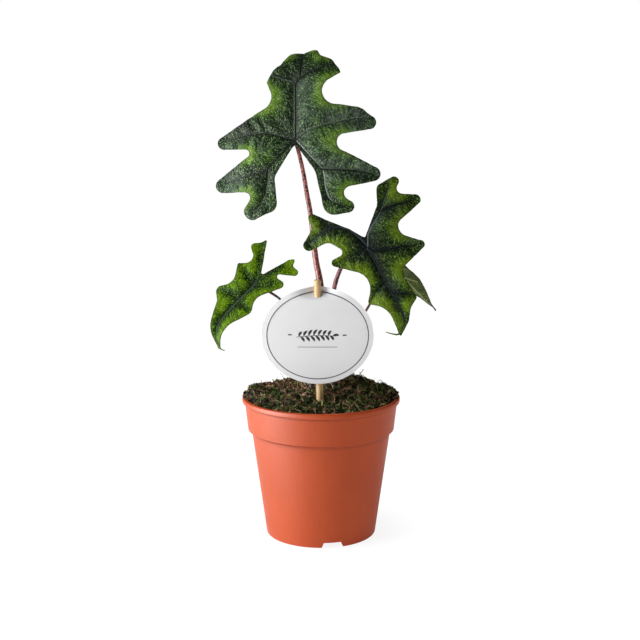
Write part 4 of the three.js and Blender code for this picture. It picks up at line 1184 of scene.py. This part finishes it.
def soil_height(places):
    x, y = places.T
    radius = np.hypot(x, y) / (BAND_TOP_RADIUS - WALL)
    height = SOIL_LEVEL - SOIL_FRONT_DROP * smooth(-y / RIM_RADIUS) + SOIL_BACK_RISE * smooth(y / RIM_RADIUS)
    clods = np.sin(0.33 * x + 1.1) * np.sin(0.37 * y + 0.6) + 0.6 * np.sin(0.55 * (x + y))
    return height + SOIL_DOME * (1 - radius ** 2) + mounds(places, HUMMOCKS) + SOIL_CLODS * clods


def crumbled(places):
    """The soil's height with its crumbs."""
    rough = sum(height * noise_at(places, scale, seed) for height, scale, seed in CRUMBLE)
    radius = np.hypot(*places.T)
    edge = smooth((SOIL_RADIUS - radius) / 3)
    banked = BANK_HEIGHT * smooth((places[:, 1] - SPILL_FROM) / 14) * smooth((radius - 44) / 8)
    level = soil_height(places) - CRUMBS_BELOW + banked - mounds(places, SETTLED)
    return level + rough * (0.35 + 0.65 * edge)


def peat_material():
    shade = Shade("peat")
    place = shade.place()
    coarse = shade.noise(place, 0.14, 4, 0.6)
    fine = shade.noise(place, 1.3, 4, 0.65)
    base = shade.mix(shade.span(coarse, 0.4, 0.62), srgb(24, 19, 14), srgb(58, 38, 26))
    base = shade.mix(shade.span(fine, 0.5, 0.72, 0.0, 0.8), base, srgb(92, 60, 40))
    base = shade.mix(shade.span(fine, 0.3, 0.42, 0.8, 0.0), base, srgb(10, 8, 7))
    normal = shade.bump(fine, 0.7, 1.0)
    return shade.surface(base, 0.9, normal, Specular_IOR_Level=0.2)


def tinted_material(name, roughness=0.8):
    """A material whose colour varies from piece to piece, as its tint says."""
    shade = Shade(name)
    tint = shade.attribute("tint")
    grain = shade.noise(shade.place(), 2.2, 3, 0.6)
    colour = shade.mix(shade.span(grain, 0.3, 0.75, 0.0, 0.55), tint, (0.012, 0.01, 0.008, 1))
    normal = shade.bump(grain, 0.25, 0.8)
    return shade.surface(colour, roughness, normal, Specular_IOR_Level=0.25)


SOIL_SIDES = 300
SOIL_RINGS = 64
SOIL_LOW = FLOOR_TOP + 0.3
SOIL_WALL_TOP = 99
SOIL_GAP = 0.35                       # to the pot's wall


def add_soil():
    walls = [ring_at(pot_wall(z) - WALL - SOIL_GAP, z, SOIL_SIDES)
             for z in (SOIL_LOW, BODY_TOP - 0.8, BAND_LOW - 0.8, SOIL_WALL_TOP)]
    radii = np.linspace(SOIL_RADIUS, 0, SOIL_RINGS, endpoint=False)
    places = np.vstack([*[circle(r, SOIL_SIDES) for r in radii], [[0, 0]]])
    top = np.column_stack([places, crumbled(places)])
    vertices = np.vstack([*walls, top, [[0, 0, SOIL_LOW]]])
    rows = len(walls) + SOIL_RINGS
    count = rows * SOIL_SIDES
    bottom_fan = [face[::-1] for face in fan_faces(count + 1, 0, SOIL_SIDES)]
    top_fan = fan_faces(count, count - SOIL_SIDES, SOIL_SIDES)
    faces = grid_faces(rows, SOIL_SIDES) + bottom_fan + top_fan
    add_piece("soil", vertices, faces, peat_material(), "peat", "soil")


RIM_EDGE = 0.9
RIM_FROM = SOIL_RADIUS - 0.3          # further out than this, a place is on the rim
ON_RIM = (0.1, 0.9)                   # how high things lie on it
FRONT_BLUR = (-5, 12)                 # how far back from SPILL_FROM they begin, from place to place


def scattered(radius):
    """Places at these distances from the middle, all round it."""
    angle = random.uniform(0, FULL_TURN, len(radius))
    return np.column_stack([radius * np.cos(angle), radius * np.sin(angle)])


def soil_spots(count):
    """Places spread evenly over the soil."""
    return scattered(np.sqrt(random.uniform(0, (SOIL_RADIUS - SOIL_EDGE) ** 2, count)))


CRUMB_TINTS = [srgb(82, 56, 40), srgb(28, 21, 15), srgb(136, 82, 64), srgb(18, 14, 11),
               srgb(186, 144, 112)]
FIBRE_TINTS = [srgb(190, 156, 112), srgb(140, 106, 70), srgb(84, 58, 40), srgb(222, 196, 150),
               srgb(136, 82, 68)]
MOSS_TINTS = [srgb(58, 96, 40), srgb(92, 130, 50), srgb(26, 48, 32), srgb(164, 184, 92)]
MOSS_PATCHES = [(-32, -26, 12, 1.2), (-14, -34, 12, 1.1), (26, -28, 15, 1.1), (8, -36, 9, 0.8),
                (-50, 6, 7, 0.9), (32, 12, 15, 1.0), (-20, 30, 14, 0.6), (42, -10, 10, 0.7),
                (10, 42, 14, 0.8), (-40, -8, 10, 0.8), (0, -14, 10, 0.5), (50, 10, 8, 0.8),
                (-27, -14, 9, 0.9), (20, 22, 12, 0.8)]


def spilled(count):
    """Places on the rim, at the sides and the back."""
    places = scattered(random.uniform(SOIL_RADIUS - SOIL_EDGE, RIM_RADIUS - RIM_EDGE, count))
    return places[places[:, 1] > SPILL_FROM + random.uniform(*FRONT_BLUR, count)]


def heap_height(places):
    """The soil's height at these places, or the rim's where they are on it."""
    on_rim = np.hypot(*places.T) > RIM_FROM
    return np.where(on_rim, POT_HEIGHT + random.uniform(*ON_RIM, len(places)), crumbled(places))


def ball(rows, sides):
    """A round body of radius 1."""
    vertices = [(0, 0, 1)]
    for i in range(1, rows + 1):
        tilt = math.pi * i / (rows + 1)
        for j in range(sides):
            turn = FULL_TURN * (j + (i % 2) / 2) / sides
            radius = math.sin(tilt)
            vertices.append((radius * math.cos(turn), radius * math.sin(turn), math.cos(tilt)))
    vertices.append((0, 0, -1))
    last = len(vertices) - 1
    faces = fan_faces(0, 1, sides) + [face[::-1] for face in fan_faces(last, last - sides, sides)]
    faces += [(1 + a, 1 + d, 1 + c, 1 + b) for a, b, c, d in grid_faces(rows, sides)]
    return np.array(vertices), faces


BALL, BALL_FACES = ball(4, 7)
CRUMB_COUNT, CRUMBS_SPILLED = 2300, 900
CRUMB_SIZES = (0.45, 1.3)
CRUMB_RISE = 0.1                      # share of its size


def lump(size):
    """A small ball with its points pushed about."""
    moved = BALL * random.uniform(0.7, 1.25, (len(BALL), 1)) * random.uniform(0.6, 1.3, 3) * size
    return moved, BALL_FACES


def pick(tints):
    return tints[random.integers(len(tints))][:3]


def add_crumbs():
    heap = Heap()
    spots = np.vstack([soil_spots(CRUMB_COUNT), spilled(CRUMBS_SPILLED)])
    for (x, y), z in zip(spots, heap_height(spots)):
        size = random.uniform(*CRUMB_SIZES) ** 1.2
        vertices, faces = lump(size)
        heap.add(vertices + (x, y, z + CRUMB_RISE * size), faces, pick(CRUMB_TINTS))
    heap.add_piece("peat_crumbs", tinted_material("peat_crumbs"), "peat", smooth=False)


FIBRE_COUNT = 1300
FIBRE_LENGTHS = (3, 12)
FIBRE_BENDS = (-0.9, 0.9)
FIBRE_RISE = 0.45                     # standard deviation of how steeply one stands up
FIBRE_RADII = (0.15, 0.38)
FIBRE_TAPER = np.array([1, 1, 0.95, 0.85, 0.7, 0.35])
FIBRE_STEPS = len(FIBRE_TAPER)
FIBRE_SIDES = 5
FIBRE_LIFT = 0.25


def add_fibres():
    heap = Heap()
    for spot in soil_spots(FIBRE_COUNT):
        length = random.uniform(*FIBRE_LENGTHS)
        heading = random.uniform(0, FULL_TURN)
        bend = random.uniform(*FIBRE_BENDS)
        lift = max(0.0, random.normal(0.0, FIBRE_RISE))
        headings = heading + bend / FIBRE_STEPS * np.arange(1, FIBRE_STEPS)
        strides = length / FIBRE_STEPS * np.column_stack([np.cos(headings), np.sin(headings)])
        places = spot + np.vstack([[[0, 0]], np.cumsum(strides, axis=0)])
        if np.hypot(*places.T).max() > SOIL_RADIUS - 0.8:
            continue
        share = np.linspace(0, 1, FIBRE_STEPS)
        heights = lift * length * share * (1.2 - 0.5 * share) + crumbled(places) + FIBRE_LIFT
        radii = random.uniform(*FIBRE_RADII) * FIBRE_TAPER
        heap.add(*tube(np.column_stack([places, heights]), radii, FIBRE_SIDES), pick(FIBRE_TINTS))
    heap.add_piece("peat_fibres", tinted_material("peat_fibres"), "peat")


MOSS_COUNT, MOSS_SPILLED = 6600, 900
FULL_COVER = 0.75                     # where the patches add up to this, no tuft is left out
TUFT_LIGHTS = (0.5, 1.35)             # shades of its tufts, and of the leaves in one
LEAF_LIGHTS = (0.35, 1.6)
MOSS_LEANS = (0.3, 1.3)
MOSS_LENGTHS = (1.2, 2.8)
MOSS_HALF_WIDTHS = (0.2, 0.42)
MOSS_CROWN = 0.12
MOSS_LEAVES = 7                       # in a tuft
MOSS_LEAF_FACES = [(0, 1, 4), (1, 3, 4), (3, 2, 4), (2, 0, 4), (0, 2, 1), (1, 2, 3)]


def add_moss():
    """Tufts of small pointed leaves, closest where the patches are."""
    heap = Heap()
    spots = np.vstack([soil_spots(MOSS_COUNT), spilled(MOSS_SPILLED)])
    spots = spots[mounds(spots, MOSS_PATCHES) > random.uniform(0.0, FULL_COVER, len(spots))]
    for root in np.column_stack([spots, heap_height(spots)]):
        tuft = np.array(pick(MOSS_TINTS)) * random.uniform(*TUFT_LIGHTS)
        for _ in range(MOSS_LEAVES):
            tint = tuft * random.uniform(*LEAF_LIGHTS)
            turn = random.uniform(0, FULL_TURN)
            lean = random.uniform(*MOSS_LEANS)
            length = random.uniform(*MOSS_LENGTHS)
            way = np.array([math.cos(turn) * math.sin(lean), math.sin(turn) * math.sin(lean), math.cos(lean)])
            side = unit(np.cross(way, (0.1, 0.2, 1.0))) * random.uniform(*MOSS_HALF_WIDTHS)
            middle = root + 0.5 * length * way
            crown = np.cross(unit(side), way) * MOSS_CROWN
            vertices = [root, middle + side, middle - side, root + length * way, middle + crown]
            heap.add(vertices, MOSS_LEAF_FACES, tint)
    heap.add_piece("moss", tinted_material("moss", 0.7), "peat", smooth=False)


# ---- Stick and card ----

STICK_RADIUS = 2.7
STICK_FROM = (-0.8, -27)
STICK_TO = (-2.8, -27)
STICK_LOW = 34
STICK_TOP = 199.8
STICK_STEPS = 120
STICK_SIDES = 48
CARD_CENTRE = (-2.5, -30.6, 158.8)
CARD_HALF = (41, 35.8)
CARD_HALF_THICKNESS = 0.2
CARD_BOW = 590
CARD_RINGS = 40
CARD_SIDES = 160
SLIT_BELOW, SLIT_ABOVE, SLIT_OFFSET, SLIT_SPREAD = 26.3, 33.5, 7.2, 11


def add_stick():
    shaft = np.linspace(STICK_LOW + 2, STICK_TOP - 0.6, STICK_STEPS)
    heights = np.concatenate([[STICK_LOW, STICK_LOW + 0.8], shaft, [STICK_TOP - 0.2, STICK_TOP]])
    share = (heights - POT_HEIGHT) / (STICK_TOP - POT_HEIGHT)
    x, y = (start + share * (end - start) for start, end in zip(STICK_FROM, STICK_TO))
    path = np.column_stack([x, y, heights])
    radii = np.full(len(heights), STICK_RADIUS - 0.05)
    radii[[0, -1]] -= 0.5
    radii[[1, -2]] -= 0.15
    vertices, faces = tube(path, radii, STICK_SIDES)
    offsets = vertices - np.repeat(path, STICK_SIDES, axis=0)
    angles = np.arctan2(offsets[:, 1], offsets[:, 0])
    grain_places = np.column_stack([3 * np.cos(angles), 3 * np.sin(angles), 0.03 * vertices[:, 2]])
    ridges = 0.012 * np.sin(13 * angles) + 0.018 * noise_at(grain_places, 1)
    vertices = roughened(path, vertices, STICK_SIDES, 1 - np.abs(ridges))
    shade = Shade("bamboo")
    grain = shade.noise(shade.place((1, 1, 0.03)), 2.2, 4, 0.6)
    tone = shade.noise(shade.place((0.3, 0.3, 0.05)), 1, 2, 0.5)
    base = shade.mix(shade.span(grain, 0.35, 0.7), srgb(190, 150, 98), srgb(226, 194, 142))
    base = shade.mix(shade.span(tone, 0.35, 0.7, 0.0, 0.4), base, srgb(206, 168, 112))
    material = shade.surface(base, 0.55, shade.bump(grain, 0.12, 0.7), Specular_IOR_Level=0.35)
    add_piece("stake", vertices, faces, material, "bamboo", "stake")


def card_surface(points, out=0.0):
    """Places on the card, whose top edge is pushed back behind the stick above the slit."""
    u, v = np.asarray(points, float).T
    rise = smooth((v - SLIT_BELOW) / (SLIT_ABOVE - SLIT_BELOW))
    back = SLIT_OFFSET * rise * fall(u, SLIT_SPREAD)
    x, y, z = CARD_CENTRE
    return np.column_stack([x + u, y + back + u * u / (2 * CARD_BOW) - out, z + v])


def add_card():
    ovals = [circle(share, CARD_SIDES) * CARD_HALF for share in np.linspace(1, 0.02, CARD_RINGS)]
    flat = np.vstack([*ovals, [[0, 0]]])
    middle = len(flat) - 1
    front = [*grid_faces(CARD_RINGS, CARD_SIDES), *fan_faces(middle, middle - CARD_SIDES, CARD_SIDES)]
    vertices = np.vstack([card_surface(flat, out) for out in (CARD_HALF_THICKNESS, -CARD_HALF_THICKNESS)])
    shade = Shade("card")
    fine = shade.noise(shade.place(), 3.0, 3, 0.6)
    tone = shade.noise(shade.place(), 0.05, 2, 0.5)
    base = shade.mix(shade.span(tone, 0.3, 0.7), srgb(230, 230, 231), srgb(233, 233, 234))
    x, _, z = CARD_CENTRE
    u, v = CARD_HALF
    oval = shade.place((1 / u, 0, 1 / v), (-x / u, 0, -z / v))
    base = shade.mix(shade.span(shade.length(oval), 0.9, 0.93), base, srgb(236, 236, 237))
    material = shade.surface(base, 0.5, shade.bump(fine, 0.02, 0.3), Specular_IOR_Level=0.15)
    card = add_piece("label", vertices, sheet_faces(front, len(flat)), material, "card", "label")
    card.data.set_sharp_from_angle(angle=SHARP_EDGE)
    add_print()


PRINT_FACE = 0.26                     # in front of the card's middle
PRINT_BACK = 0.22                     # just clear of the card's front
RING_INSET = 3.8
RING_WIDTH = 0.72
RING_SIDES = 200
RING_INK = srgb(62, 64, 68)[:3]
INK = srgb(26, 26, 28)[:3]
PALE_INK = srgb(96, 98, 102)[:3]
STEM_FROM, STEM_TO = -15.6, 11
STEM_STEPS = 19
STEM_WIDTH = 0.45
PAIRS = 7                             # of leaves on the sprig
PAIR_FROM, PAIR_STEP = -13.8, 3.6
LONGEST_PAIR = 2.6                    # its place in the row of pairs
LEAF_LENGTH, LEAF_LESS, LEAF_WIDTH = 5.5, 0.35, 1.9
LEAF_STEPS = 13
LAST_LEAF_LENGTH = 4.8
DASHES = ((-20.3, 0.9), (19.7, 0.6))
DASH_HALF, DASH_WIDTH = 1.4, 0.9
RULE_FROM, RULE_TO, RULE_HEIGHT, RULE_WIDTH = -14.6, 14.4, -8.2, 0.42


def strip(line, width, closed=False):
    """A flat band along a line on the card: points in u and v, with an even or varying width."""
    line = np.asarray(line, float)
    if closed:
        ways = np.roll(line, -1, axis=0) - np.roll(line, 1, axis=0)
    else:
        ways = np.gradient(line, axis=0)
    normals = unit(np.column_stack([-ways[:, 1], ways[:, 0]]))
    width = np.broadcast_to(width, len(line))[:, None]
    points = np.vstack([line - normals * width / 2, line + normals * width / 2])
    count = len(line)
    pairs = [(i, (i + 1) % count) for i in range(count if closed else count - 1)]
    return points, [(i, j, count + j, count + i) for i, j in pairs]


def level_strip(start, end, height, steps, width):
    return strip(np.column_stack([np.linspace(start, end, steps), np.full(steps, height)]), width)


def leaflet(start, angle, length, width):
    """A pointed leaf shape, as a band whose width swells and shrinks."""
    share = np.linspace(0, 1, LEAF_STEPS)
    bend = 0.12 * np.sin(math.pi * share) * length
    way = np.array([math.cos(angle), math.sin(angle)])
    normal = np.array([-way[1], way[0]])
    line = np.array(start) + (share * length)[:, None] * way + bend[:, None] * normal
    return strip(line, 0.02 + width * np.sin(math.pi * share) ** 0.8)


def add_flat(heap, flat, tint):
    """Print with a little thickness."""
    points, faces = flat
    vertices = np.vstack([card_surface(points, PRINT_FACE), card_surface(points, PRINT_BACK)])
    heap.add(vertices, sheet_faces(faces, len(points)), tint)


def add_print():
    """A ring line, and in its middle a plain sprig between two dashes, over a thin rule."""
    heap = Heap()
    ring = circle(1, RING_SIDES) * (CARD_HALF[0] - RING_INSET, CARD_HALF[1] - RING_INSET)
    add_flat(heap, strip(ring, RING_WIDTH, closed=True), RING_INK)
    stem_u = np.linspace(STEM_FROM, STEM_TO, STEM_STEPS)
    stem_v = -0.8 + 1.2 * np.sin(np.linspace(0, 2.4, STEM_STEPS))
    add_flat(heap, strip(np.column_stack([stem_u, stem_v]), STEM_WIDTH), INK)
    for i in range(PAIRS):
        u = PAIR_FROM + PAIR_STEP * i
        v = float(np.interp(u, stem_u, stem_v))
        length = LEAF_LENGTH - LEAF_LESS * abs(i - LONGEST_PAIR)
        add_flat(heap, leaflet((u, v + 0.1), 1.0, length, LEAF_WIDTH), INK)
        add_flat(heap, leaflet((u + 1.2, v - 0.1), -0.9, length, LEAF_WIDTH), INK)
    add_flat(heap, leaflet((STEM_TO, stem_v[-1]), 0.1, LAST_LEAF_LENGTH, LEAF_WIDTH), INK)
    for u, v in DASHES:
        add_flat(heap, level_strip(u - DASH_HALF, u + DASH_HALF, v, 4, DASH_WIDTH), INK)
    add_flat(heap, level_strip(RULE_FROM, RULE_TO, RULE_HEIGHT, 24, RULE_WIDTH), PALE_INK)
    shade = Shade("ink")
    grain = shade.noise(shade.place(), 3.0)
    material = shade.surface(shade.attribute("tint"), 0.55, shade.bump(grain, 0.02, 0.3))
    heap.add_piece("label_print", material, "card", smooth=False)


add_camera()
add_studio()
add_stage()
add_pot()
add_soil()
add_crumbs()
add_fibres()
add_moss()
add_stick()
add_card()
add_stalks()
add_leaves()
